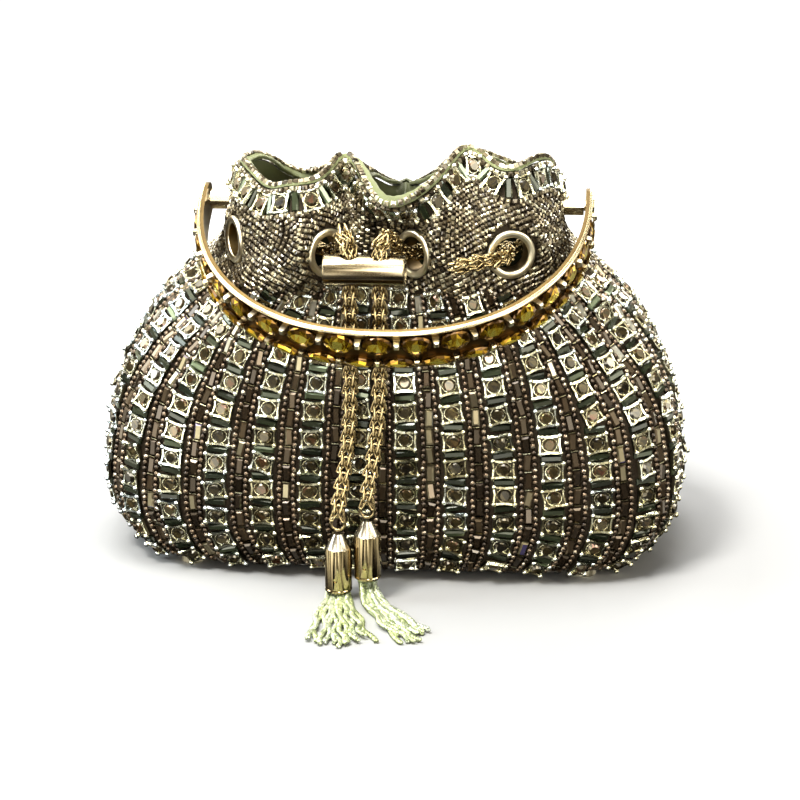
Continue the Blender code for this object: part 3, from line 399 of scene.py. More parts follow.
def handle_line():
    """Length of the arch, and a reader of its points and directions, from right to left."""
    angle = np.linspace(0.0, math.pi, 1441)
    x = HANDLE_HALF_WIDTH * np.sign(np.cos(angle)) * np.abs(np.cos(angle)) ** (2.0 / HANDLE_POWER)
    y = -HANDLE_REACH * np.abs(np.sin(angle)) ** (2.0 / HANDLE_POWER)
    run = run_along(np.column_stack((x, y)))

    def at(marks):
        spots = np.column_stack((np.interp(marks, run, x), np.interp(marks, run, y)))
        nearby = np.column_stack((np.interp(marks + 0.5, run, x) - np.interp(marks - 0.5, run, x),
                                  np.interp(marks + 0.5, run, y) - np.interp(marks - 0.5, run, y)))
        along = nearby / np.linalg.norm(nearby, axis=1, keepdims=True)
        outward = np.column_stack((-along[:, 1], along[:, 0]))
        return spots, along, outward

    return run[-1], at


# Settings that a user would change

class PouchSizes(bpy.types.PropertyGroup):
    """Sizes of the stones, beads and links, in millimetres."""

    stone_pitch: FloatProperty(name="Stone pitch", description="Rise from stone to stone",
                               default=9.5, min=9.0, max=14.0)
    setting_width: FloatProperty(name="Setting width", description="Width of a square setting",
                                 default=8.7, min=6.0, max=9.0)
    setting_height: FloatProperty(name="Setting height", description="Height of a square setting",
                                  default=7.0, min=5.0, max=8.0)
    stone_radius: FloatProperty(name="Stone radius", description="Radius of a round stone",
                                default=2.95, min=2.0, max=3.2)
    column_top: FloatProperty(name="Top of the columns", description="Height where set stones end",
                              default=101.0, min=70.0, max=104.0)
    bead_pitch: FloatProperty(name="Bead pitch", description="Rise from bead to bead in a column",
                              default=2.15, min=1.8, max=3.0)
    neck_bead_pitch: FloatProperty(name="Neck bead pitch", description="Rise between rows of beads",
                                   default=1.85, min=1.7, max=3.0)
    neck_beads_per_column: IntProperty(name="Neck beads per column",
                                       description="Beads round the neck over one stone column",
                                       default=8, min=4, max=9)
    link_pitch: FloatProperty(name="Link pitch", description="Rise from one chain link to the next",
                              default=5.4, min=4.0, max=7.0)
    strands: IntProperty(name="Tassel strands", description="Fine strands in each tassel",
                         default=12, min=6, max=60)


class PouchColours(bpy.types.PropertyGroup):
    """Main colours of the finishes."""

    setting: FloatVectorProperty(name="Setting metal", description="Metal round the stones",
                                 subtype="COLOR", size=3, default=(0.86, 0.87, 0.70))
    stone: FloatVectorProperty(name="Round stones", description="Glass of the round stones",
                               subtype="COLOR", size=3, default=(0.085, 0.062, 0.022))
    bead: FloatVectorProperty(name="Column beads", description="Bronze beads beside the stones",
                              subtype="COLOR", size=3, default=(0.108, 0.073, 0.044))
    satin: FloatVectorProperty(name="Satin", description="Lining and binding",
                               subtype="COLOR", size=3, default=(0.42, 0.46, 0.19))
    gold: FloatVectorProperty(name="Pale gold", description="Eyelets, washers, feet and claws",
                              subtype="COLOR", size=3, default=(0.86, 0.80, 0.64))
    amber: FloatVectorProperty(name="Amber", description="Stones of the handle",
                               subtype="COLOR", size=3, default=(0.90, 0.58, 0.025))


# Materials

class Value:
    """A socket in a node tree; arithmetic on it adds Math nodes."""

    def __init__(self, nodes, socket):
        self.nodes = nodes
        self.socket = socket

    def __add__(self, other):
        return self.nodes.maths("ADD", self, other)

    __radd__ = __add__

    def __mul__(self, other):
        return self.nodes.maths("MULTIPLY", self, other)


class Nodes:
    """A node tree under construction."""

    def __init__(self, tree):
        self.tree = tree

    def node(self, kind, settings=None, inputs=None, output=0):
        """Any node, with its settings first and then its sockets; gives one output."""
        made = self.tree.nodes.new(kind)
        for name, value in (settings or {}).items():
            if name == "stops":
                ramp = made.color_ramp
                while len(ramp.elements) < len(value):
                    ramp.elements.new(0.5)
                for element, (share, colour) in zip(ramp.elements, value):
                    element.position = share
                    element.color = (*colour, 1.0)
            else:
                setattr(made, name, value)
        for name, value in (inputs or {}).items():
            self.feed(made.inputs[name], value)
        return Value(self, made.outputs[output]) if len(made.outputs) else None

    def feed(self, socket, value):
        if isinstance(value, Value):
            self.tree.links.new(value.socket, socket)
        else:
            socket.default_value = value

    def maths(self, operation, first, second):
        return self.node("ShaderNodeMath", {"operation": operation}, {0: first, 1: second})

    def mix(self, factor, first, second):
        return self.node("ShaderNodeMix", {"data_type": "RGBA"},
                         {0: factor, 6: rgba(first), 7: rgba(second)}, output=2)

    def place(self, scale=(1.0, 1.0, 1.0)):
        spot = self.node("ShaderNodeTexCoord", output="Object")
        return self.node("ShaderNodeMapping", inputs={"Vector": spot, "Scale": scale})

    def noise(self, scale, detail=2.0, spot=None):
        return self.node("ShaderNodeTexNoise", inputs={
            "Vector": spot or self.place(), "Scale": scale, "Detail": detail})

    def ramp(self, factor, stops):
        return self.node("ShaderNodeValToRGB", {"stops": stops}, {"Fac": factor})

    def red(self, colour):
        return self.node("ShaderNodeSeparateColor", inputs={"Color": colour})

    def background(self, colour, strength):
        return self.node("ShaderNodeBackground",
                         inputs={"Color": rgba(colour), "Strength": strength})


class Finish(Nodes):
    """A material under construction round one Principled shader."""

    def __init__(self, name, **constants):
        material = bpy.data.materials.new(name)
        material.use_nodes = True
        super().__init__(material.node_tree)
        self.shader = self.tree.nodes["Principled BSDF"]
        for socket, value in constants.items():
            self.set(socket.replace("_", " "), value)

    def set(self, name, value):
        self.feed(self.shader.inputs[name], value)

    def tint(self):
        return self.red(self.node("ShaderNodeAttribute", {"attribute_name": "tint"}))

    def bump(self, height, strength, distance):
        self.set("Normal", self.node("ShaderNodeBump", inputs={
            "Height": height, "Strength": strength, "Distance": distance}))


def rgba(colour):
    return (*colour, 1.0) if isinstance(colour, (tuple, list)) and len(colour) == 3 else colour


def blended(colour, other, share):
    return tuple(a + (b - a) * share for a, b in zip(colour, other))


def known(name):
    """A finish made earlier, by its name."""
    return bpy.data.materials.get(name)


def tinted(name, constants, stops, cloud, dark, polish):
    """A finish whose colour follows the tint of each facet, clouded with a darker colour; high
    tints give painted glints.

    cloud is the scale, detail and share of the clouds; polish is the least roughness, the scale
    of its marks and how much they add.
    """
    made = Finish(name, **constants)
    scale, detail, share = cloud
    least, grain, added = polish
    hue = made.ramp(made.tint(), stops)
    made.set("Base Color", made.mix(made.noise(scale, detail) * share, hue, dark))
    made.set("Roughness", least + made.noise(grain) * added)
    return made


def setting_metal(colour):
    """Bright cast metal, tarnished in its grain, darker where the tint is low; its near-white and
    bluish top colours are painted highlights and painted cool light from the left.
    """
    made = Finish("setting_metal", Metallic=1.0)
    hue = made.ramp(made.tint(), (
        (0.0, (0.17, 0.145, 0.085)), (0.32, blended(colour, (0.42, 0.36, 0.20), 0.65)),
        (0.55, colour), (0.8, (0.86, 0.88, 0.80)), (1.0, (0.70, 0.80, 0.90))))
    tarnish = made.noise(420.0, 3.0)
    made.set("Base Color", made.mix(tarnish * 0.35, hue, (0.22, 0.19, 0.11)))
    made.set("Roughness", 0.10 + tarnish * 0.18)
    made.bump(made.noise(900.0), 0.25, 0.0004)


def tray_metal_painted_shade():
    """Metal of the trays under the stones, painted dark for the shade that falls between the claws
    and the stone.
    """
    made = Finish("setting_tray", Metallic=0.9)
    tarnish = made.noise(500.0, 3.0)
    made.set("Base Color", made.mix(tarnish, (0.060, 0.052, 0.030), (0.018, 0.014, 0.009)))
    made.set("Roughness", 0.22 + tarnish * 0.25)
    made.bump(made.noise(1200.0), 0.3, 0.0003)


def glass_and_beads(stone, bead, amber):
    """Finishes of the glass stones and of the two kinds of bead; the brightest colours at the top
    of each tint are painted glints.
    """
    made = tinted("stone_glass", {"Metallic": 0.55, "Coat_Roughness": 0.02,
                                  "Specular_IOR_Level": 0.8},
                  ((0.0, (0.020, 0.015, 0.008)), (0.35, stone), (0.58, (0.13, 0.10, 0.035)),
                   (0.80, (0.16, 0.055, 0.025)), (0.92, (0.36, 0.30, 0.11)),
                   (1.0, (0.85, 0.80, 0.55))),
                  (600.0, 2.0, 0.5), (0.02, 0.018, 0.012), (0.06, 250.0, 0.10))
    made.set("Coat Weight", 0.6 + made.noise(300.0) * 0.3)
    tinted("green_glass", {"Metallic": 0.3, "Coat_Weight": 0.2, "Coat_Roughness": 0.05},
           ((0.0, (0.008, 0.012, 0.005)), (0.6, (0.024, 0.033, 0.014)),
            (0.88, (0.07, 0.09, 0.042)), (1.0, (0.24, 0.30, 0.18))),
           (350.0, 2.0, 0.4), (0.012, 0.013, 0.008), (0.14, 200.0, 0.14))
    tinted("long_glass", {"Metallic": 0.55, "Coat_Weight": 0.3, "Coat_Roughness": 0.05},
           ((0.0, (0.022, 0.014, 0.008)), (0.5, (0.060, 0.039, 0.021)),
            # The near-white stops and the purple one are painted glints.
            (0.78, (0.14, 0.10, 0.058)), (0.89, (0.50, 0.44, 0.27)), (0.905, (0.12, 0.09, 0.30)),
            (0.92, (0.60, 0.57, 0.46)), (1.0, (0.80, 0.79, 0.68))),
           (300.0, 2.0, 0.35), (0.05, 0.035, 0.02), (0.10, 180.0, 0.12))
    tinted("bronze_bead", {"Metallic": 0.75, "Coat_Weight": 0.35, "Coat_Roughness": 0.05},
           ((0.0, (0.022, 0.014, 0.009)), (0.45, bead), (0.80, (0.21, 0.15, 0.10)),
            (1.0, (0.72, 0.66, 0.54))),
           (500.0, 2.0, 0.3), (0.035, 0.022, 0.015), (0.16, 300.0, 0.15))
    tinted("neck_bead_glass", {"Metallic": 0.65, "Coat_Weight": 0.5, "Coat_Roughness": 0.05},
           ((0.0, (0.020, 0.014, 0.008)), (0.40, (0.13, 0.10, 0.058)),
            (0.75, (0.31, 0.26, 0.16)), (1.0, (0.86, 0.83, 0.62))),
           (420.0, 2.0, 0.35), (0.04, 0.03, 0.018), (0.12, 260.0, 0.16))
    # The amber's dark low colours and bright yellow top are painted shade at the edges and a
    # painted flash in the middle of each stone.
    tinted("amber_glass", {"Metallic": 0.8, "Coat_Weight": 0.2, "Coat_Roughness": 0.03},
           ((0.0, (0.036, 0.016, 0.002)), (0.34, (0.15, 0.072, 0.005)),
            (0.54, (0.43, 0.235, 0.009)), (0.74, amber), (1.0, (1.0, 0.86, 0.14))),
           (240.0, 3.0, 0.35), (0.06, 0.022, 0.003), (0.05, 200.0, 0.06))


def net_cloth():
    """Brown net that the stones are sewn on, with its fine hexagonal threads."""
    made = Finish("net_cloth", Specular_IOR_Level=0.15)
    cells = made.node("ShaderNodeTexVoronoi", {"feature": "DISTANCE_TO_EDGE"},
                      {"Vector": made.place(), "Scale": 1100.0})
    patch = made.noise(60.0, 3.0)
    ground = made.mix(patch, (0.012, 0.008, 0.005), (0.034, 0.024, 0.014))
    made.set("Base Color", made.mix(cells * 2.2, (0.048, 0.034, 0.020), ground))
    made.set("Roughness", 0.5 + patch * 0.3)
    made.bump(cells, 0.5, 0.0006)


def lining_satin(colour):
    """Satin with its fine diagonal weave, with painted shade that darkens it the deeper it lies
    inside the pouch.
    """
    made = Finish("lining_satin", Sheen_Weight=0.1, Sheen_Roughness=0.35, Specular_IOR_Level=0.35)
    weave = made.red(made.node("ShaderNodeTexWave", {"bands_direction": "DIAGONAL"},
                               {"Vector": made.place(), "Scale": 900.0, "Distortion": 0.8}))
    cloud = made.noise(38.0, 3.0)
    thread = made.mix(cloud, blended(colour, (0.30, 0.36, 0.12), 0.5),
                      blended(colour, (0.75, 0.78, 0.45), 0.35))
    spot = made.node("ShaderNodeTexCoord", output="Object")
    height = made.node("ShaderNodeSeparateXYZ", inputs={"Vector": spot}, output="Z")
    # Painted shade inside the pouch: the satin turns near-black green below 118 mm of height and
    # keeps its colour above 154 mm.
    depth = made.node("ShaderNodeMapRange", inputs={
        "Value": height, "From Min": 0.118, "From Max": 0.154, "To Min": 1.0, "To Max": 0.0})
    woven = made.mix(weave * 0.25, thread, (0.22, 0.26, 0.09))
    made.set("Base Color", made.mix(depth, woven, (0.022, 0.026, 0.008)))
    made.set("Roughness", 0.30 + cloud * 0.22)
    made.bump(weave + made.noise(220.0) * 1.5, 0.35, 0.0003)


def gold_metal(name, colour, polish):
    """Plated metal with faint streaks and handling marks."""
    made = Finish(name, Metallic=1.0)
    marks = made.noise(160.0, 4.0)
    streaks = made.noise(90.0, 2.0, made.place((1.0, 1.0, 6.0)))
    worn = blended(colour, (0.45, 0.33, 0.14), 0.7)
    made.set("Base Color", made.mix(marks * 0.45, colour, worn))
    made.set("Roughness", polish + streaks * 0.12)
    made.bump(marks, 0.08, 0.0004)


def tassel_metal():
    """Pale greenish strands, with the cells of their fine links."""
    made = Finish("tassel_chain", Metallic=0.45)
    hue = made.ramp(made.tint(), (
        (0.0, (0.46, 0.52, 0.22)), (0.5, (0.80, 0.88, 0.52)), (1.0, (0.94, 1.0, 0.88))))
    links = made.node("ShaderNodeTexVoronoi", {}, {"Vector": made.place(), "Scale": 700.0})
    made.set("Base Color", made.mix(links * 0.8, hue, (0.12, 0.16, 0.04)))
    made.set("Roughness", 0.22 + made.noise(400.0) * 0.2)
    made.bump(links, 0.6, 0.0005)


def card_board():
    made = Finish("stiff_board", Sheen_Weight=0.1)
    fibre = made.noise(240.0, 5.0, made.place((1.0, 4.0, 4.0)))
    made.set("Base Color", made.mix(fibre, (0.10, 0.085, 0.065), (0.24, 0.20, 0.155)))
    made.set("Roughness", 0.75 + fibre * 0.2)
    made.bump(fibre, 0.3, 0.0005)


def floor_paint():
    """Matt near the pouch, where it takes the shadows, and glowing white further off."""
    made = Finish("studio_floor", Roughness=0.9, Specular_IOR_Level=0.0, Emission_Strength=1.0)
    spot = made.node("ShaderNodeTexCoord", output="Object")
    away = made.node("ShaderNodeVectorMath", {"operation": "LENGTH"}, {0: spot}, output="Value")
    glow = made.node("ShaderNodeMapRange", inputs={
        "Value": away, "From Min": 0.13, "From Max": 0.34, "To Min": 0.0, "To Max": 1.0})
    made.set("Emission Color", made.mix(glow, (0.0, 0.0, 0.0), (0.9, 0.9, 0.9)))
    made.set("Base Color", made.mix(made.noise(0.8), (0.50, 0.50, 0.50), (0.52, 0.52, 0.52)))


def make_finishes(colours):
    setting_metal(tuple(colours.setting))
    tray_metal_painted_shade()
    glass_and_beads(tuple(colours.stone), tuple(colours.bead), tuple(colours.amber))
    net_cloth()
    lining_satin(tuple(colours.satin))
    tassel_metal()
    card_board()
    floor_paint()
    for name, colour, polish in (("chain_gold", (0.34, 0.275, 0.16), 0.12),
                                 ("eyelet_gold", tuple(colours.gold), 0.24),
                                 ("slider_gold", (0.27, 0.235, 0.175), 0.12),
                                 ("cap_gold", (0.32, 0.265, 0.165), 0.06),
                                 ("cap_silver", (0.36, 0.35, 0.32), 0.18),
                                 ("handle_gold", (0.80, 0.70, 0.48), 0.20),
                                 # The near-black gold is painted shade, for the bores of the
                                 # eyelets and the channel of the handle.
                                 ("channel_gold", (0.070, 0.040, 0.012), 0.30)):
        gold_metal(name, colour, polish)


# Modelling

def alone(made=None):
    """Leave everything unselected, or only one object selected and active."""
    if bpy.context.mode != "OBJECT":
        bpy.ops.object.mode_set(mode="OBJECT")
    bpy.ops.object.select_all(action="DESELECT")
    if made is not None:
        made.select_set(True)
        bpy.context.view_layer.objects.active = made


def primitive(kind, name, scale=(1.0, 1.0, 1.0), **sizes):
    """A primitive with its scale applied, open in edit mode with nothing selected."""
    alone()
    getattr(bpy.ops.mesh, f"primitive_{kind}_add")(**sizes)
    made = bpy.context.active_object
    made.name = name
    made.scale = scale
    bpy.ops.object.transform_apply(location=True, rotation=True, scale=True)
    bpy.ops.object.mode_set(mode="EDIT")
    bpy.ops.mesh.select_all(action="DESELECT")
    return made


def pick(made, test, kind="faces"):
    """Select what passes the test: faces by centre and normal, vertices by place."""
    bpy.ops.mesh.select_mode(type={"faces": "FACE", "verts": "VERT"}[kind])
    bpy.ops.mesh.select_all(action="DESELECT")
    shape = bmesh.from_edit_mesh(made.data)
    for item in getattr(shape, kind):
        known_as = (item.calc_center_median(), item.normal) if kind == "faces" else (item.co,)
        item.select_set(bool(test(*known_as)))
    shape.select_flush_mode()
    bmesh.update_edit_mesh(made.data)


def close_edit(made, smooth=None):
    bpy.ops.object.mode_set(mode="OBJECT")
    return made if smooth is None else smoothed(made, smooth)


def joined(main, others):
    alone(main)
    for other in others:
        other.select_set(True)
    bpy.ops.object.join()
    return main


def unit_of(made):
    """Points, faces and smoothness of a modelled unit, which is then removed."""
    mesh = made.data
    points = np.array([v.co[:] for v in mesh.vertices])
    faces = [tuple(p.vertices) for p in mesh.polygons]
    smooth = [p.use_smooth for p in mesh.polygons]
    bpy.data.objects.remove(made, do_unlink=True)
    bpy.data.meshes.remove(mesh)
    return points, faces, smooth


def copies(name, unit, frames, tints, finish, sizes=None, painted_facet_glint=0.0, painted_middle_light=0.0):
    """One mesh of a unit copied to frames (centre, side, up, normal), each with its tint.

    Facets may depart at random from the tint of their copy by up to a given amount, as painted
    glints; a second amount paints highlight on the facets near the middle and shade on those near
    the edge, the reverse when it is negative.
    """
    points, faces, smooth = unit
    centre, side, up, normal = frames
    sizes = np.ones((len(centre), 3)) if sizes is None else sizes
    local = points[None, :, :] * sizes[:, None, :]
    placed = (centre[:, None, :] + local[..., 0:1] * side[:, None, :]
              + local[..., 1:2] * up[:, None, :] + local[..., 2:3] * normal[:, None, :])
    count = len(points)
    all_faces = [tuple(v + k * count for v in face) for k in range(len(centre)) for face in faces]
    made = mesh_object(name, placed.reshape(-1, 3), all_faces, finish)
    made.data.polygons.foreach_set("use_smooth", smooth * len(centre))
    dice = np.random.default_rng(len(centre))
    shade = np.repeat(np.asarray(tints, float).reshape(len(centre), -1)[:, 0], len(faces))
    # Painted glints: each facet's tint departs at random from its copy's tint.
    shade = shade + painted_facet_glint * (dice.random(len(shade)) - 0.5)
    # Painted light by place on the unit: highlight towards the middle and shade towards the edge,
    # or the reverse.
    if painted_middle_light:
        reach = np.abs(points[:, :2]).max(axis=0)
        middle = [np.linalg.norm(points[list(face), :2].mean(axis=0) / reach) for face in faces]
        shade += painted_middle_light * np.tile(1.0 - 2.0 * np.array(middle), len(centre))
    shade = np.clip(shade, 0.0, 1.0)
    paint(made, np.repeat(shade, np.tile([len(face) for face in faces], len(centre))))
    return made


def paint(made, tints):
    """The tint of each face corner as a colour attribute."""
    values = np.ones((len(made.data.loops), 4))
    values[:, :3] = np.asarray(tints, float)[:, None]
    layer = made.data.color_attributes.new("tint", "FLOAT_COLOR", "CORNER")
    layer.data.foreach_set("color", values.ravel())


def mesh_object(name, points, faces, finish, smooth=None):
    """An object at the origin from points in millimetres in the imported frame."""
    mesh = bpy.data.meshes.new(name)
    mesh.from_pydata((np.asarray(points, float) * MM).tolist(), [], faces)
    mesh.update()
    made = bpy.data.objects.new(name, mesh)
    bpy.context.scene.collection.objects.link(made)
    mesh.materials.append(known(finish))
    return made if smooth is None else smoothed(made, smooth)


def spun(name, profile, steps, smooth=40.0):
    """A turned unit from a profile of (radius, height), closed on itself or on the axis."""
    mesh = bpy.data.meshes.new(name)
    closed = profile[0][0] > 0.0 and profile[-1][0] > 0.0
    edges = [(i, i + 1) for i in range(len(profile) - 1)]
    if closed:
        edges.append((len(profile) - 1, 0))
    mesh.from_pydata([(r, 0.0, h) for r, h in profile], edges, [])
    made = bpy.data.objects.new(name, mesh)
    bpy.context.scene.collection.objects.link(made)
    alone(made)
    bpy.ops.object.mode_set(mode="EDIT")
    bpy.ops.mesh.select_all(action="SELECT")
    bpy.ops.mesh.spin(steps=steps, angle=2.0 * math.pi, center=(0.0, 0.0, 0.0),
                      axis=(0.0, 0.0, 1.0))
    bpy.ops.mesh.select_all(action="SELECT")
    bpy.ops.mesh.remove_doubles(threshold=0.0005)
    bpy.ops.mesh.normals_make_consistent(inside=False)
    return close_edit(made, smooth)


def in_place(made, matrix, finish):
    """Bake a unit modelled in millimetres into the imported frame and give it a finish."""
    made.data.transform(Matrix.Scale(MM, 4) @ matrix)
    made.data.materials.clear()
    made.data.materials.append(known(finish))
    made.data.update()
    return made


def axes_at(centre, axis):
    """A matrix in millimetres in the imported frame, with its Z along axis."""
    z = Vector(axis).normalized()
    x = Vector((0.0, 0.0, 1.0))
    if abs(x.dot(z)) > 0.95:
        x = Vector((1.0, 0.0, 0.0))
    y = z.cross(x).normalized()
    x = y.cross(z).normalized()
    turn = Matrix((x, y, z)).transposed().to_4x4()
    return Matrix.Translation(Vector(np.asarray(centre, float) + SHIFT)) @ turn


def bored(made, **sizes):
    """Cut a round hole, given as a cylinder, through a solid."""
    alone()
    bpy.ops.mesh.primitive_cylinder_add(**sizes)
    tool = bpy.context.active_object
    bpy.ops.object.transform_apply(location=True, rotation=True, scale=True)
    alone(made)
    cut = made.modifiers.new("bore", "BOOLEAN")
    cut.operation, cut.object, cut.solver = "DIFFERENCE", tool, "EXACT"
    bpy.ops.object.modifier_apply(modifier=cut.name)
    bpy.data.objects.remove(tool, do_unlink=True)


def smoothed(made, degrees):
    alone(made)
    bpy.ops.object.shade_smooth_by_angle(angle=math.radians(degrees))
    return made


def dressed(made, node, body="pouch"):
    """Let a piece take a node's place, and ride on its body."""
    if node:
        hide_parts(node)
    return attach(made, body)


def tube_mesh(name, routes, radius, sides, finish, tints):
    """Closed round tubes along routes (millimetres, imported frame) in one mesh."""
    points, faces, owner = [], [], []
    guide = np.array((0.31, 0.17, 0.93))
    for number, route in enumerate(routes):
        ahead = unit(np.gradient(route, axis=0))
        across = unit(np.cross(ahead, guide))
        over = np.cross(ahead, across)
        first, count = len(points), len(route)
        for k in range(count):
            for turn in range(sides):
                angle = 2.0 * math.pi * turn / sides
                points.append(route[k] + radius * (across[k] * math.cos(angle)
                                                   + over[k] * math.sin(angle)))
        for k in range(count - 1):
            for turn in range(sides):
                a, b = first + k * sides + turn, first + k * sides + (turn + 1) % sides
                faces.append((a, b, b + sides, a + sides))
        faces.append(tuple(range(first + sides - 1, first - 1, -1)))
        faces.append(tuple(range(first + (count - 1) * sides, first + count * sides)))
        owner += [tints[number]] * (4 * (count - 1) * sides + 2 * sides)
    made = mesh_object(name, points, faces, finish)
    made.data.polygons.foreach_set("use_smooth", [True] * len(made.data.polygons))
    paint(made, owner)
    shape = bmesh.new()
    shape.from_mesh(made.data)
    bmesh.ops.recalc_face_normals(shape, faces=shape.faces)
    shape.to_mesh(made.data)
    shape.free()
    return made


# Surface of the pouch

class Wall:
    """A wall read smoothly between the points of a grid, at a share round and a row up."""

    def __init__(self, grid):
        grid = grid + SHIFT
        self.rows, self.count = grid.shape[:2]
        low, high = 2.0 * grid[:1] - grid[1:2], 2.0 * grid[-1:] - grid[-2:-1]
        self.grid = np.concatenate((low, grid, high))

    def at(self, share, row):
        share, row = np.broadcast_arrays(np.asarray(share, float), np.asarray(row, float))
        column = (share % 1.0) * self.count
        row = np.clip(row, 0.0, self.rows - 1.0)
        i = np.floor(column).astype(int)
        j = np.minimum(np.floor(row).astype(int), self.rows - 2)
        round_, up = spline_weights(column - i), spline_weights(row - j)
        found = np.zeros(share.shape + (3,))
        for a in range(4):
            for b in range(4):
                spot = self.grid[j + a, (i + b - 1) % self.count]
                found += (up[a] * round_[b])[..., None] * spot
        return found

    def frames(self, share, row, lift=0.0):
        """Centre, side, up and outward directions; up follows the column."""
        side = self.at(share + 0.0008, row) - self.at(share - 0.0008, row)
        above = np.minimum(row + 0.02, self.rows - 1.0)
        up = unit(self.at(share, above) - self.at(share, above - 0.04))
        out = unit(np.cross(side, up))
        side = unit(np.cross(up, out))
        centre = self.at(share, row) + out * np.asarray(lift)[..., None]
        return centre, side, up, out

    def climb(self, share, pitch, start, stop_row, top=None):
        """Rows at an even rise along the wall at one share, up to a row or a height."""
        rows = np.linspace(0.0, stop_row, 400)
        line = self.at(np.full(400, share), rows)
        run = run_along(line)
        end = run[-1] if top is None else np.interp(top, line[:, 2], run)
        marks = np.arange(start, end, pitch)
        return np.interp(marks, run, rows)


def spline_weights(s):
    return (0.5 * (-s + 2 * s ** 2 - s ** 3), 0.5 * (2 - 5 * s ** 2 + 3 * s ** 3),
            0.5 * (s + 4 * s ** 2 - 3 * s ** 3), 0.5 * (s ** 3 - s ** 2))


def unit(vectors):
    return vectors / np.maximum(np.linalg.norm(vectors, axis=-1, keepdims=True), 1e-9)


GRID = press_seats(wall_grid(COLUMNS * POINTS_PER_COLUMN))
NORMALS = grid_normals(GRID)
OUTSIDE = Wall(GRID)
SEATS = [(c + SHIFT, a, EYELET_RADIUS) for c, a in eyelet_frames()]
SEATS += [(c + SHIFT, a, POST_RADIUS) for c, a in pivot_frames()]


def clear_of_seats(points, margin):
    """True for the points that lie off the eyelets and the handle's posts."""
    free = np.ones(len(points), bool)
    for centre, axis, radius in SEATS:
        offset = points - centre
        height = offset @ axis
        flat = np.linalg.norm(offset - height[:, None] * axis, axis=1)
        free &= (flat > radius + margin) | (np.abs(height) > 14.0)
    return free


def relief(share, row):
    """Rise of the cloth over the stone columns, as in the part."""
    wave = 0.5 - 0.5 * np.cos(2.0 * math.pi * COLUMNS * share)
    fades = np.array([1.0 - level[4] for level in PLAN_LEVELS] + [0.0] * len(RUFFLE_STEPS))
    fades[0] = 0.0
    return COLUMN_RELIEF * np.sqrt(wave) * np.interp(row, np.arange(len(fades)), fades)


def shell_mesh(name, layers, finish):
    """A closed double wall from an outer and an inner set of rows, pierced at its seats."""
    rows, count = layers[0].shape[:2]
    size = rows * count
    flat = [layer.reshape(-1, 3) for layer in layers]
    middle = 0.5 * (flat[0] + flat[1])
    around = np.arange(count)
    faces, border = [], {}
    for r in range(rows - 1):
        a, b = r * count + around, r * count + (around + 1) % count
        centres = 0.25 * (middle[a] + middle[b] + middle[a + count] + middle[b + count])
        for i in np.flatnonzero(clear_of_seats(centres, -1.7)):
            left, right = int(a[i]), int(b[i])
            quad = (left, right, right + count, left + count)
            faces += [quad, tuple(v + size for v in quad[::-1])]
            for edge in zip(quad, quad[1:] + quad[:1]):
                if border.pop(edge[::-1], None) is None:
                    border[edge] = True
    faces += [(b, a, a + size, b + size) for a, b in border if a >= count or b >= count]
    for i in range(count):
        j = (i + 1) % count
        faces += [(j, i, 2 * size), (size + i, size + j, 2 * size + 1)]
    points = np.concatenate(flat + [layer[:1].mean(axis=1) for layer in layers])
    return mesh_object(name, points, faces, finish, 50.0)


def rest_turn():
    """The resting handle's frame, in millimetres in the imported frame."""
    return (Matrix.Translation(Vector((0.0, PIVOT_Y, PIVOT_Z)) + Vector(SHIFT))
            @ Matrix.Rotation(HANDLE_REST, 4, "X"))


# Operators, one for each group of pieces

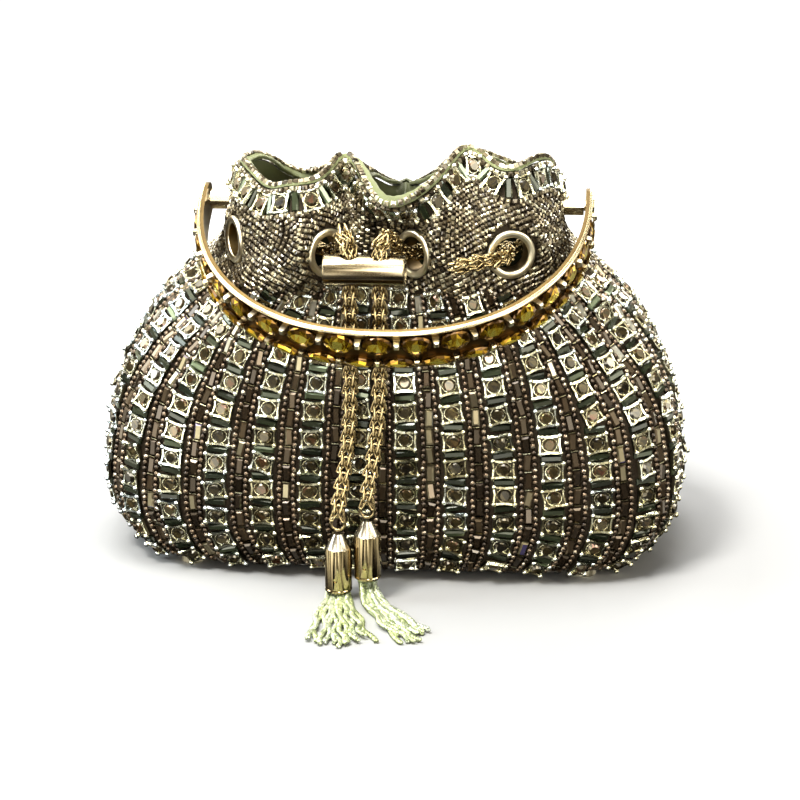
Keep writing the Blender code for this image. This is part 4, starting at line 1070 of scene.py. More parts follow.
class POTLI_OT_stage(bpy.types.Operator):
    """Set up the camera, the pale floor and the soft studio lights"""

    bl_idname = "potli.stage"
    bl_label = "Stage"

    def execute(self, context):
        make_finishes(context.scene.potli_colours)
        self.camera(context)
        bpy.ops.mesh.primitive_plane_add(size=30.0, location=(0.0, 0.0, 0.0))
        floor = context.active_object
        floor.name = "floor"
        floor.data.materials.append(known("studio_floor"))
        floor.visible_glossy = False
        self.lights(context)
        self.surroundings(context)
        return {"FINISHED"}

    def camera(self, context):
        target = Vector((0.0, 0.0, CAMERA_HEIGHT)) + Vector(SHIFT)
        back = Vector((math.sin(CAMERA_TURN) * math.cos(CAMERA_RISE),
                       -math.cos(CAMERA_TURN) * math.cos(CAMERA_RISE), math.sin(CAMERA_RISE)))
        data = bpy.data.cameras.new("camera")
        data.sensor_width = SENSOR_WIDTH
        data.lens = SENSOR_WIDTH * FOCAL_PIXELS / 800.0
        data.clip_start, data.clip_end = 0.05, 60.0
        camera = bpy.data.objects.new("camera", data)
        context.scene.collection.objects.link(camera)
        camera.location = (target + back * CAMERA_DISTANCE) * MM
        camera.rotation_mode = "QUATERNION"
        tilt = (Matrix.Rotation(-math.atan(ACROSS_PIXELS / FOCAL_PIXELS), 4, "Y")
                @ Matrix.Rotation(-math.atan(DOWN_PIXELS / FOCAL_PIXELS), 4, "X"))
        camera.rotation_quaternion = (-back).to_track_quat("-Z", "Y") @ tilt.to_quaternion()
        context.scene.camera = camera
        context.scene.view_settings.view_transform = "Standard"

    def lights(self, context):
        """Area lights turned to the pouch: place, width, height, power and colour."""
        for name, spot, width, height, power, colour in (
                ("key_light", (-0.45, -0.50, 1.30), 0.34, 0.26, 18.0, (1.0, 0.985, 0.94)),
                ("left_light", (-1.05, -0.10, 0.55), 0.35, 0.50, 6.5, (0.86, 0.95, 1.0)),
                ("right_light", (0.95, -0.55, 0.70), 0.28, 0.40, 1.8, (1.0, 0.93, 0.78)),
                ("front_light", (0.15, -1.15, 0.62), 0.22, 0.16, 1.0, (1.0, 0.96, 0.84)),
                ("top_light", (-0.10, -0.10, 1.40), 0.80, 0.60, 17.0, (1.0, 1.0, 0.98)),
                ("back_light", (0.30, 0.95, 0.85), 0.45, 0.30, 4.0, (1.0, 0.98, 0.94))):
            data = bpy.data.lights.new(name, "AREA")
            data.shape = "RECTANGLE"
            data.size, data.size_y = width, height
            data.energy = power
            data.color = colour
            lamp = bpy.data.objects.new(name, data)
            context.scene.collection.objects.link(lamp)
            lamp.location = spot
            lamp.rotation_mode = "QUATERNION"
            aim = Vector((0.0, 0.0, 0.07)) - Vector(spot)
            lamp.rotation_quaternion = aim.to_track_quat("-Z", "Y")

    def surroundings(self, context):
        """A pale studio, with darker walls and bright windows in what the metal reflects."""
        world = bpy.data.worlds.new("studio")
        world.use_nodes = True
        context.scene.world = world
        world.node_tree.nodes.clear()
        sky = Nodes(world.node_tree)
        spot = sky.node("ShaderNodeTexCoord", output="Generated")
        height = sky.node("ShaderNodeSeparateXYZ", inputs={"Vector": spot}, output="Z")
        climb = sky.node("ShaderNodeMapRange", inputs={
            "Value": height, "From Min": -0.42, "From Max": 0.45, "To Min": 0.06, "To Max": 2.3})
        tall = sky.node("ShaderNodeMapping", inputs={"Vector": spot, "Scale": (1.7, 1.7, 0.6)})
        windows = sky.ramp(sky.noise(2.3, 1.0, tall), (
            (0.0, (0.02, 0.015, 0.011)), (0.44, (0.06, 0.046, 0.032)), (0.50, (0.42, 0.36, 0.24)),
            (0.56, (1.5, 1.42, 1.12)), (0.64, (5.4, 5.2, 4.5))))
        glossy = sky.node("ShaderNodeLightPath", output="Is Glossy Ray")
        direct = sky.node("ShaderNodeLightPath", output="Is Camera Ray")
        white = (1.0, 1.0, 1.0)
        lit = sky.node("ShaderNodeMixShader", inputs={
            "Fac": glossy, 1: sky.background(white, 0.20), 2: sky.background(windows, climb)})
        seen = sky.node("ShaderNodeMixShader", inputs={
            "Fac": direct, 1: lit, 2: sky.background(white, 1.02)})
        sky.node("ShaderNodeOutputWorld", inputs={"Surface": seen})


def link_unit():
    """One long loop of wire, 7.2 by 2.7 mm."""
    primitive("torus", "link", major_segments=12, minor_segments=5, major_radius=0.86,
              minor_radius=0.46)
    made = bpy.context.active_object
    for sign in (-1.0, 1.0):
        pick(made, lambda c: c.y * sign > 0.1, "verts")
        bpy.ops.transform.translate(value=(0.0, 2.25 * sign, 0.0))
    bpy.ops.transform.resize(value=(0.72, 1.0, 1.0))
    close_edit(made, 80.0)
    return unit_of(made)


def wheat_chain(name, route, pitch, seed):
    """Loops in leaning pairs along a route, in front, behind and on both sides."""
    dice = np.random.default_rng(seed)
    line = smooth_route(route, pitch) + SHIFT
    ahead = unit(np.gradient(line, axis=0))
    guide = np.array((0.0, -1.0, 0.0)) if abs(ahead[len(ahead) // 2][2]) > 0.7 \
        else np.array((0.0, 0.0, 1.0))
    front = unit(guide - (ahead @ guide)[:, None] * ahead)
    across = np.cross(ahead, front)
    parts = []
    for face, (outward, sideways) in enumerate(((front, across), (across, -front),
                                                (-front, -across), (-across, front))):
        shift = 0.5 * pitch * (face % 2)
        for lean in (-1.0, 1.0):
            angle = lean * math.radians(24.0)
            up = unit(ahead * math.cos(angle) + sideways * math.sin(angle) - outward * 0.12)
            side = unit(np.cross(up, outward))
            out = np.cross(side, up)
            centre = (line + sideways * (lean * 0.95) + outward * 1.30 + ahead * shift)
            inside = slice(0, len(line)) if shift == 0.0 else slice(0, len(line) - 1)
            parts.append([v[inside] for v in (centre, side, up, out)])
    frames = [np.concatenate([part[k] for part in parts]) for k in range(4)]
    tints = dice.random((len(frames[0]), 2))
    made = copies(name, link_unit(), frames, tints, "chain_gold")
    return made, line


class POTLI_OT_chains(bpy.types.Operator):
    """Make the drawstring, its tail and the two hanging strands with their tassels"""

    bl_idname = "potli.chains"
    bl_label = "Chains and tassels"

    def execute(self, context):
        sizes = context.scene.potli_sizes
        made = {}
        for name, route, seed in (("chain_drawstring", DRAWSTRING_ROUTE, 11),
                                  ("chain_end_tail", TAIL_ROUTE, 12),
                                  ("chain_strand_left", LEFT_STRAND_ROUTE, 13),
                                  ("chain_strand_right", RIGHT_STRAND_ROUTE, 14)):
            made[name] = wheat_chain(name, route, sizes.link_pitch, seed)
        tail, line = made["chain_end_tail"]
        dressed(tail, "chain_tail")
        self.declare(made["chain_drawstring"], "drawstring_chain", "object", "taut",
                     [tail, self.tail_end(line)])
        for side, foot, sections in (("left", LEFT_CAP_FOOT, LEFT_TASSEL),
                                     ("right", RIGHT_CAP_FOOT, RIGHT_TASSEL)):
            ring = self.ring(side, foot)
            cap = self.cap(side, foot)
            tassel = self.tassel(side, sections, sizes.strands)
            self.declare(made[f"chain_strand_{side}"], f"chain_{side}", "fitting", "hanging",
                         [ring, cap, tassel])
        return {"FINISHED"}

    def declare(self, piece, node, far_end, lay, others):
        made, line = piece
        dressed(made, node)
        path = line * MM

    def tail_end(self, line):
        """Small cast end on the tail."""
        made = spun("tail_end", ((0.0, 1.5), (1.5, 1.5), (2.1, 0.9), (2.1, -1.2), (1.7, -1.6),
                                 (0.0, -1.6)), 16)
        ahead = line[-1] - line[-2]
        in_place(made, axes_at(line[-1] - SHIFT, ahead), "cap_gold")
        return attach(made, "pouch")

    def ring(self, side, foot):
        rise = CAP_BODY + CAP_CONE + GAP + RING_RADIUS + RING_WIRE_RADIUS
        primitive("torus", f"ring_{side}", major_segments=28, minor_segments=10,
                  major_radius=RING_RADIUS, minor_radius=RING_WIRE_RADIUS)
        made = close_edit(bpy.context.active_object, 60.0)
        centre = np.array(foot) + np.array((0.0, 0.0, rise))
        in_place(made, axes_at(centre, (0.0, 1.0, 0.0)), "cap_gold")
        return dressed(made, f"chain_ring_{side}")

    def cap(self, side, foot):
        """Polished bell with a rolled lip, a step under its cone and a hole for a set screw."""
        inner, body = CAP_RADIUS - CAP_WALL, CAP_BODY
        cone = [(CAP_TOP_RADIUS, body + CAP_CONE - 0.35), (CAP_RADIUS - 0.55, body + 0.15)]
        outer = cone + [(CAP_RADIUS - 0.1, body - 0.25), (CAP_RADIUS, body - 0.6),
                        (CAP_RADIUS, 1.4), (CAP_RADIUS - 0.2, 1.1), (CAP_RADIUS, 0.8),
                        (CAP_RADIUS, 0.25), (CAP_RADIUS - 0.25, 0.0), (inner + 0.1, 0.0),
                        (inner, 0.2), (inner, 8.8), (0.0, 9.2)]
        made = spun(f"cap_{side}", [(0.0, body + CAP_CONE - 0.2)] + outer, 40, 35.0)
        bored(made, vertices=16, radius=0.75, depth=1.2, location=(-0.6, -CAP_RADIUS, 5.0),
              rotation=(math.pi / 2.0, 0.0, 0.0))
        in_place(made, Matrix.Translation(Vector(np.array(foot) + SHIFT)), "cap_gold")
        made.data.materials.append(known("cap_silver"))
        cone_foot = (foot[2] + body - 0.1) * MM
        for face in made.data.polygons:
            face.material_index = int(face.center.z > cone_foot)
        return dressed(smoothed(made, 30.0), f"tassel_cap_{side}")

    def tassel(self, side, sections, count):
        """Fine chain strands that leave the cap together and splay on the ground."""
        dice = np.random.default_rng(31 if side == "left" else 32)
        top = sections[0]
        run = [(top[0], top[1], top[2] + 5.0, 5.6, 5.2)] + [list(s) for s in sections]
        run = np.array(run, float)
        middle = run[:, :3] + SHIFT
        ahead = unit(np.gradient(middle, axis=0))
        across = unit(np.cross(ahead, np.array((0.0, 0.0, 1.0)) + 0.001))
        over = np.cross(across, ahead)
        routes, tints = [], []
        for k in range(count):
            place_x = 1.9 * (k + 0.5) / count - 0.95 + 0.07 * dice.normal()
            place_z = dice.uniform(-0.7, 0.7)
            wide, thick = 0.49 * run[:, 3], 0.34 * run[:, 4]
            route = smooth_route(middle + across * (wide * place_x)[:, None]
                                 + over * (thick * place_z)[:, None], 0.5)
            route = route[:int(len(route) * dice.uniform(0.82, 1.0))]
            wave = np.linspace(0.0, 1.0, len(route))
            phase, turns = dice.random() * 6.28, 1.5 + 2.0 * dice.random()
            route[:, 0] += 1.1 * wave * np.sin(phase + turns * 6.28 * wave)
            twist = np.arange(len(route)) * 1.45 + phase
            for half in (0.0, math.pi):
                ply = route.copy()
                ply[:, 0] += 0.55 * np.cos(twist + half)
                ply[:, 2] += 0.55 * np.sin(twist + half)
                ply[:, 2] = np.maximum(ply[:, 2], 0.62)
                routes.append(ply)
                tints.append(0.25 + 0.75 * dice.random())
        made = tube_mesh(f"fringe_{side}", routes, 0.52, 5, "tassel_chain", tints)
        return dressed(made, f"tassel_{side}")


class POTLI_OT_cloth(bpy.types.Operator):
    """Make the gathered outer cloth that carries the stones"""

    bl_idname = "potli.cloth"
    bl_label = "Outer cloth"

    def execute(self, context):
        shares = np.arange(480) / 480.0
        rows = np.concatenate((np.linspace(0.0, 5.0, 24)[:-1], np.linspace(5.0, 13.0, 64)))
        share, row = np.meshgrid(shares, rows)
        centre, _, _, out = OUTSIDE.frames(share, row)
        outer = centre + out * relief(share, row)[..., None]
        inner = centre - out * (WALL - 0.1)
        inner[0, :, 2] = UNDERSIDE + WALL
        inner[:, :, 2] = np.maximum(inner[:, :, 2], UNDERSIDE + WALL)
        outer[:, :, 2] = np.maximum(outer[:, :, 2], UNDERSIDE)
        made = shell_mesh("pouch_cloth", (outer, inner), "net_cloth")
        dressed(made, "outer_shell")
        return {"FINISHED"}


class POTLI_OT_lining(bpy.types.Operator):
    """Make the satin lining and the folded binding along the rim"""

    bl_idname = "potli.lining"
    bl_label = "Lining and binding"

    def execute(self, context):
        floor = FOOT_HEIGHT + GAP + WALL + GAP + BOARD_THICKNESS + GAP
        layers = []
        for depth in (0.0, LINING_WALL):
            levels = [(floor + depth, PLAN_LEVELS[1])]
            levels += [(UNDERSIDE + PLAN_LEVELS[k][0], PLAN_LEVELS[k]) for k in LINING_ROWS]
            slack = LINING_SLACK + depth
            rows = [hollow_for_handle(np.column_stack((
                ring_plan(level[1] - slack, level[2] - slack, level[3], GRID.shape[1]),
                np.full(GRID.shape[1], height)))) for height, level in levels]
            fine = GRID - NORMALS * (WALL + LINING_GAP + depth)
            wall = Wall(np.array(rows + list(fine[LINING_CLOSE_ROW:])))
            share, row = np.meshgrid(np.arange(288) / 288.0,
                                     np.linspace(0.0, wall.rows - 1.0, 60))
            layers.append(wall.at(share, row))
        dressed(shell_mesh("satin_lining", layers, "lining_satin"), "lining")
        self.binding()
        return {"FINISHED"}

    def binding(self):
        count = 576
        shares = np.arange(count) / count
        top = OUTSIDE.rows - 1.0
        rim = OUTSIDE.at(shares, top)
        up = unit(rim - OUTSIDE.at(shares, top - 0.3))
        side = np.roll(rim, -1, axis=0) - np.roll(rim, 1, axis=0)
        out = unit(np.cross(side, up))
        inside = WALL + LINING_GAP + LINING_WALL + BINDING_OVERLAP
        middle = rim - out * (inside - BINDING_OVERLAP) / 2.0
        half = (inside + BINDING_OVERLAP) / 2.0
        section = [(half, 0.0), (half, 0.35), (half, 0.7), (half * 0.8, 0.92), (half * 0.35, 1.0),
                   (-half * 0.35, 1.0), (-half * 0.8, 0.92), (-half, 0.7), (-half, 0.35),
                   (-half, 0.0)]
        pucker = 1.0 + 0.05 * np.sin(shares * 2.0 * math.pi * 96.0)
        rows = [middle + out * (across * pucker)[:, None]
                + up * (BINDING_GAP + rise * 0.62 * BINDING_HEIGHT * pucker)[:, None]
                for across, rise in section]
        sides = len(rows)
        faces = []
        for k in range(sides):
            m = (k + 1) % sides
            for i in range(count):
                j = (i + 1) % count
                faces.append((k * count + i, k * count + j, m * count + j, m * count + i))
        made = mesh_object("satin_binding", np.concatenate(rows), faces, "lining_satin", 60.0)
        dressed(made, "rim_binding")


# Units of the stone work, in millimetres, facing +Z

def tray_unit(sizes):
    """Sunk tray of a square setting."""
    wide, tall = sizes.setting_width, sizes.setting_height
    made = primitive("cube", "tray", scale=(wide - 0.8, tall - 0.8, 0.9), size=1.0,
                     location=(0.0, 0.0, 0.45))
    pick(made, lambda c, n: n.z > 0.9)
    bpy.ops.mesh.inset(thickness=0.7, depth=0.0)
    bpy.ops.transform.translate(value=(0.0, 0.0, -0.35))
    return unit_of(close_edit(made))


def claws_unit(sizes):
    """The metal over a tray: two bars that bow towards the stone, with a ball at each end."""
    wide, tall = sizes.setting_width, sizes.setting_height
    others = []
    for sign in (-1.0, 1.0):
        bar = primitive("cube", "bar", scale=(wide - 0.6, 1.25, 1.0), size=1.0,
                        location=(0.0, sign * (tall / 2.0 - 0.42), 1.3))
        bpy.ops.mesh.select_all(action="SELECT")
        bpy.ops.mesh.bisect(plane_co=(0.0, 0.0, 0.0), plane_no=(1.0, 0.0, 0.0))
        pick(bar, lambda c: abs(c.x) < 0.01, "verts")
        bpy.ops.transform.translate(value=(0.0, -sign * 0.55, -0.12))
        pick(bar, lambda c, n: n.z > 0.9)
        bpy.ops.transform.resize(value=(0.97, 0.6, 1.0))
        others.append(close_edit(bar))
        for side in (-1.0, 1.0):
            ball = primitive("uv_sphere", "ball", scale=(1.0, 1.0, 0.95), segments=5,
                             ring_count=3, radius=1.08,
                             location=(side * (wide / 2.0 - 0.75), sign * (tall / 2.0 - 0.55),
                                       1.45))
            others.append(close_edit(ball, 80.0))
    for side in (-1.0, 1.0):
        rail = primitive("cube", "rail", scale=(0.6, tall - 1.8, 0.7), size=1.0,
                         location=(side * (wide / 2.0 - 0.7), 0.0, 0.85))
        bpy.ops.mesh.select_all(action="SELECT")
        bpy.ops.mesh.bisect(plane_co=(0.0, 0.0, 0.0), plane_no=(0.0, 1.0, 0.0))
        pick(rail, lambda c: abs(c.y) < 0.01, "verts")
        bpy.ops.transform.translate(value=(-side * 0.3, 0.0, -0.1))
        pick(rail, lambda c, n: n.z > 0.9)
        bpy.ops.transform.resize(value=(0.96, 0.9, 1.0))
        others.append(close_edit(rail))
    collar = primitive("torus", "collar", scale=(1.0, 0.86, 0.8), major_segments=12,
                       minor_segments=3, major_radius=sizes.stone_radius - 0.2,
                       minor_radius=0.30, location=(0.0, 0.0, 1.0))
    others.append(close_edit(collar, 60.0))
    return unit_of(joined(others[0], others[1:]))


def brilliant_unit(radius, height, sides=10, table=0.56, base=0.35):
    """Round stone: a girdle, slanting facets and a turned table."""
    made = primitive("cylinder", "brilliant", vertices=sides, radius=radius, depth=height - base,
                     location=(0.0, 0.0, base + (height - base) / 2.0))
    pick(made, lambda c, n: n.z > 0.9)
    bpy.ops.transform.resize(value=(table, table, 1.0))
    bpy.ops.transform.rotate(value=math.pi / sides, orient_axis="Z",
                             center_override=(0.0, 0.0, 0.0))
    bpy.ops.mesh.select_all(action="SELECT")
    bpy.ops.mesh.quads_convert_to_tris(quad_method="SHORTEST_DIAGONAL", ngon_method="BEAUTY")
    close_edit(made)
    return unit_of(made)


def step_unit(wide, tall, high, bevel):
    """Step-cut baguette: a bar with its top drawn in twice."""
    made = primitive("cube", "baguette", scale=(wide, tall, high * 0.55), size=1.0,
                     location=(0.0, 0.0, high * 0.275))
    pick(made, lambda c, n: n.z > 0.9)
    bpy.ops.mesh.inset(thickness=bevel, depth=0.0)
    bpy.ops.transform.translate(value=(0.0, 0.0, high * 0.45))
    close_edit(made)
    return unit_of(made)


def bead_unit(radius, flat):
    made = primitive("uv_sphere", "bead", scale=(1.0, 1.0, flat), segments=6, ring_count=4,
                     radius=radius, location=(0.0, 0.0, radius * 0.55))
    return unit_of(close_edit(made, 75.0))


def cushion_unit(wide, tall, high):
    """Small rounded-square bead with a crowned top."""
    made = primitive("cube", "cushion", scale=(wide, tall, high), size=1.0,
                     location=(0.0, 0.0, high / 2.0))
    pick(made, lambda c, n: n.z > 0.9)
    bpy.ops.transform.resize(value=(0.92, 0.92, 1.0))
    bpy.ops.mesh.inset(thickness=wide * 0.26, depth=0.0)
    bpy.ops.transform.translate(value=(0.0, 0.0, high * 0.28))
    return unit_of(close_edit(made))


def cross_unit(wide):
    made = primitive("cube", "cross", scale=(wide, 0.5, 1.0), size=1.0, location=(0.0, 0.0, 0.75))
    pick(made, lambda c, n: n.z > 0.9)
    bpy.ops.transform.resize(value=(0.9, 0.4, 1.0))
    return unit_of(close_edit(made))


def chosen(frames, keep):
    return tuple(part[keep] for part in frames)


def tilted(frames, amount, dice):
    """Frames leaned a little at random, so that the stones catch the light one by one."""
    centre, side, up, out = frames
    lean = dice.normal(0.0, amount, (len(centre), 3))
    out = unit(out + side * lean[:, :1] + up * lean[:, 1:2])
    up = unit(up + side * lean[:, 2:] * 0.7)
    side = unit(np.cross(up, out))
    up = np.cross(out, side)
    return centre, side, up, out


def painted_shoulder_light(frames, amount):
    """Painted highlight: a rise of the tint on the shoulders of the pouch, where the stones look up
    to the lights.
    """
    height = np.clip((frames[0][:, 2:] - 52.0) / 40.0, 0.0, 1.0)
    return amount * height


def climbing(shares, pitch, starts, stop_row, top):
    """Share and row of each place up the columns, and whether it is an odd one of its column."""
    rows = [OUTSIDE.climb(share, pitch, start, stop_row, top)
            for share, start in zip(shares, starts)]
    return (np.repeat(shares, [len(found) for found in rows]), np.concatenate(rows),
            np.concatenate([np.arange(len(found)) % 2 == 1 for found in rows]))


def on_cloth(share, row, margin):
    """Frames on the cloth, which of them are clear of the seats, and the scale of each."""
    frames = OUTSIDE.frames(share, row, relief(share, row))
    wide = np.linalg.norm(OUTSIDE.at(share + 0.25 / COLUMNS, row)
                          - OUTSIDE.at(share - 0.25 / COLUMNS, row), axis=1) * 2.0
    scale = np.ones((len(wide), 3))
    scale[:, 0] = np.clip(wide / 16.6, 0.72, 1.03)
    return frames, clear_of_seats(frames[0], margin), scale


class POTLI_OT_stones(bpy.types.Operator):
    """Set the columns of round stones, baguettes and bronze beads up the cloth"""

    bl_idname = "potli.stones"
    bl_label = "Stone columns"

    def execute(self, context):
        sizes = context.scene.potli_sizes
        dice = np.random.default_rng(5)
        for made in (*self.settings(sizes, dice), *self.baguettes(sizes, dice),
                     self.beads(sizes, dice)):
            dressed(made, None)
        return {"FINISHED"}

    def settings(self, sizes, dice):
        share, row, odd = climbing(
            [(k + 0.5) / COLUMNS for k in range(COLUMNS)], sizes.stone_pitch / 2.0,
            [6.6 + 1.2 * ((k * 7) % 5) / 5.0 for k in range(COLUMNS)], 10.4, sizes.column_top)
        frames, free, scale = on_cloth(share, row, 3.4)
        stone_at, bar_at = free & ~odd, free & odd
        tint = dice.random((len(share), 1)) * 0.85
        # Painted light: the settings on the left shoulder get a higher tint, brighter and bluer, as
        # under a cool lamp from the left; those higher up get a painted highlight.
        painted_left_light = np.clip((-frames[0][:, 0] - 55.0) / 40.0, 0.0, 1.0) * 0.35
        tint = np.clip(tint * 0.55 + painted_left_light[:, None] + painted_shoulder_light(frames, 0.2), 0.0, 1.0)
        seat = tilted(chosen(frames, stone_at), 0.13, dice)
        tint, bar_scale, scale = tint[stone_at], scale[bar_at], scale[stone_at]
        yield copies("stone_trays", tray_unit(sizes), seat, tint, "setting_tray", scale)
        # The negative amount paints highlight on the bars and balls and shade on the collar round
        # the stone.
        yield copies("stone_settings", claws_unit(sizes), seat, tint, "setting_metal", scale, 0.5,
                     -0.35)
        yield copies("round_stones", brilliant_unit(sizes.stone_radius, 2.0),
                     tilted(seat, 0.05, dice),
                     dice.random((stone_at.sum(), 1)) * 0.64 + painted_shoulder_light(seat, 0.10),
                     "stone_glass", scale, 0.7)
        green = step_unit(sizes.setting_width - 1.2, 2.3, 1.3, 0.5)
        bars = tilted(chosen(frames, bar_at), 0.10, dice)
        yield copies("green_baguettes", green, bars,
                     dice.random((bar_at.sum(), 1)) * 0.7 + painted_shoulder_light(bars, 0.3),
                     "green_glass", bar_scale, 0.5)

    def baguettes(self, sizes, dice):
        share, row, odd = climbing(
            [k / COLUMNS for k in range(COLUMNS)], 3.2,
            [3.0 + 1.1 * (k % 3) for k in range(COLUMNS)], 10.2, sizes.column_top + 1.0)
        frames, free, scale = on_cloth(share, row, 1.4)
        scale[:, 0] *= 1.05
        long_, cross = free & ~odd, free & odd
        seat = tilted(chosen(frames, long_), 0.12, dice)
        yield copies("long_baguettes", step_unit(2.6, 5.6, 1.5, 0.5), seat,
                     dice.random((long_.sum(), 1)) * 0.86 + painted_shoulder_light(seat, 0.22),
                     "long_glass", scale[long_], 0.12)
        yield copies("baguette_bars", cross_unit(2.6), chosen(frames, cross),
                     dice.random((cross.sum(), 1)) * 0.6, "setting_metal", scale[cross])

    def beads(self, sizes, dice):
        """A line of beads on each side of the baguettes."""
        lines = [((k + aside) / COLUMNS, start) for k in range(COLUMNS)
                 for aside, start in ((-0.150, 1.2), (0.150, 2.2))]
        share, row, _ = climbing([line[0] for line in lines], sizes.bead_pitch,
                                 [line[1] for line in lines], 10.2, sizes.column_top + 2.0)
        frames, free, scale = on_cloth(share, row, 0.9)
        frames, scale = chosen(frames, free), scale[free]
        return copies("column_beads", bead_unit(1.16, 0.9), tilted(frames, 0.16, dice),
                      dice.random((len(scale), 1)) * 0.85 + painted_shoulder_light(frames, 0.3),
                      "bronze_bead", scale, 0.4)


class POTLI_OT_neck(bpy.types.Operator):
    """Cover the neck with small beads and edge the rim with a band of set stones"""

    bl_idname = "potli.neck"
    bl_label = "Neck and rim band"

    def execute(self, context):
        sizes = context.scene.potli_sizes
        dice = np.random.default_rng(7)
        for made in (self.neck(sizes, dice), *self.band(sizes, dice), *self.edges(dice)):
            dressed(made, None)
        return {"FINISHED"}

    def neck(self, sizes, dice):
        per = COLUMNS * sizes.neck_beads_per_column
        fine = np.linspace(0.0, OUTSIDE.rows - 1.0, 300)
        rows = []
        for k in range(per):
            line = OUTSIDE.climb(k / per, sizes.neck_bead_pitch, 0.0, 13.0)
            height = OUTSIDE.at(np.full(len(line), k / per), line)
            low = sizes.column_top + 0.5 + 1.2 * math.sin(k * 1.7)
            run = run_along(OUTSIDE.at(np.full(300, k / per), fine))
            to_rim = run[-1] - np.interp(line, fine, run)
            line = line[(height[:, 2] > low) & (to_rim > 10.2)]
            rows.append(0.5 * (line[1:] + line[:-1]) if k % 2 else line)
        share = np.repeat(np.arange(per) / per, [len(found) for found in rows])
        frames, free, _ = on_cloth(share, np.concatenate(rows), 0.6)
        frames = chosen(frames, free)
        return copies("neck_beads", cushion_unit(1.5, 1.5, 1.1), tilted(frames, 0.13, dice),
                      dice.random((len(frames[0]), 1)) * 0.9, "neck_bead_glass", None, 0.4)

    def along_rim(self, below, pitch):
        """Frames at an even spacing along the rim, a given length of cloth below it."""
        fine = np.arange(1200) / 1200.0
        tops = np.linspace(8.0, OUTSIDE.rows - 1.0, 240)
        rows = []
        for share in fine:
            run = run_along(OUTSIDE.at(np.full(240, share), tops))
            rows.append(np.interp(run[-1] - below, run, tops))
        rows = np.array(rows)
        path = OUTSIDE.at(fine, rows)
        run = run_along(np.vstack((path, path[:1])))
        count = int(round(run[-1] / pitch))
        count += count % 2
        marks = np.arange(count) * run[-1] / count
        share = np.interp(marks, run, np.append(fine, 1.0)) % 1.0
        centre, _, _, out = OUTSIDE.frames(share, np.interp(share, fine, rows), 0.0)
        near = [OUTSIDE.at(share + step, np.interp((share + step) % 1.0, fine, rows))
                for step in (0.001, -0.001)]
        ahead = near[0] - near[1]
        side = unit(ahead - (ahead * out).sum(axis=1, keepdims=True) * out)
        return centre, side, np.cross(out, side), out

    def band(self, sizes, dice):
        """Set stones with baguettes between them, turned to follow the rim."""
        centre, side, up, out = self.along_rim(5.3, 5.3)
        turned = (centre, -up, side, out)
        free = clear_of_seats(centre, 1.0)
        odd = np.arange(len(free)) % 2 == 1
        seat = tilted(chosen(turned, free & ~odd), 0.05, dice)
        count = len(seat[0])
        narrow = np.ones((count, 3)) * (0.95, 1.0, 1.0)
        yield copies("band_trays", tray_unit(sizes), seat, narrow[:, :1], "setting_tray", narrow)
        # The negative amount paints highlight on the bars and balls and shade on the collar round
        # the stone.
        yield copies("band_settings", claws_unit(sizes), seat, 0.15 + 0.4 * dice.random((count, 1)),
                     "setting_metal", narrow, 0.5, -0.35)
        yield copies("band_stones", brilliant_unit(sizes.stone_radius, 2.0),
                     tilted(seat, 0.05, dice), dice.random((count, 1)) * 0.8, "stone_glass", None,
                     0.7)
        green = tilted(chosen(turned, free & odd), 0.08, dice)
        yield copies("band_baguettes", step_unit(sizes.setting_width - 1.6, 2.4, 1.5, 0.5), green,
                     0.4 + 0.6 * dice.random((len(green[0]), 1)), "green_glass", None, 0.6)

    def edges(self, dice):
        """Lines of beads below and above the band, and along the rim itself."""
        for name, below, raised, forward in (("band_lower_edge", 9.9, 0.0, 0.0),
                                             ("band_upper_edge", 0.8, 0.0, 0.0),
                                             ("rim_edge", 0.05, 1.5, -0.3)):
            centre, side, up, out = self.along_rim(below, 2.15)
            centre = centre + up * raised + out * forward
            free = clear_of_seats(centre, 0.8)
            if raised:
                up, out = -out, up
            edge = chosen((centre, side, up, out), free)
            yield copies(name, cushion_unit(1.8, 1.8, 1.2), tilted(edge, 0.08, dice),
                         dice.random((len(edge[0]), 1)) ** 0.7, "neck_bead_glass", None, 0.4)


class POTLI_OT_eyelets(bpy.types.Operator):
    """Make the rolled eyelets, each a flange on a barrel through the wall"""

    bl_idname = "potli.eyelets"
    bl_label = "Eyelets"

    def execute(self, context):
        seat, roll = SEAT_TRIM + GAP, EYELET_ROLL
        depth = WALL + LINING_GAP + LINING_WALL
        foot = -depth - seat - 1.9
        bore, edge = EYELET_HOLE_RADIUS, EYELET_RADIUS
        arc = [(bore + 1.25 - 1.25 * math.cos(a), seat + roll - 0.85 + 0.85 * math.sin(a))
               for a in np.linspace(0.0, math.pi / 2.0, 7)]
        rim = [(edge - 0.85 + 0.85 * math.sin(a), seat + roll - 0.85 + 0.85 * math.cos(a))
               for a in np.linspace(0.0, math.pi / 2.0, 7)]
        profile = [(bore, foot)] + arc + rim + [(edge, seat + 0.25), (edge - 0.3, seat),
                                                (EYELET_BARREL_RADIUS, seat),
                                                (EYELET_BARREL_RADIUS, foot)]
        unit_made = spun("eyelet", profile, 48, 35.0)
        for number, (centre, axis) in enumerate(eyelet_frames(), 1):
            made = unit_made.copy()
            made.data = unit_made.data.copy()
            made.name = f"rolled_eyelet_{number:02d}"
            context.scene.collection.objects.link(made)
            in_place(made, axes_at(centre, axis), "eyelet_gold")
            made.data.materials.append(known("channel_gold"))
            spot, along = (centre + SHIFT) * MM, np.asarray(axis, float)
            # The barrel below the flange, near the bore, takes the near-black gold: painted shade
            # inside the hole.
            for face in made.data.polygons:
                offset = np.array(face.center) - spot
                deep = offset @ along < (seat + 0.35) * MM
                wide = np.linalg.norm(offset - (offset @ along) * along)
                face.material_index = int(deep and wide < (bore + 0.4) * MM)
            dressed(made, f"eyelet_{number:02d}")
        bpy.data.objects.remove(unit_made, do_unlink=True)
        return {"FINISHED"}


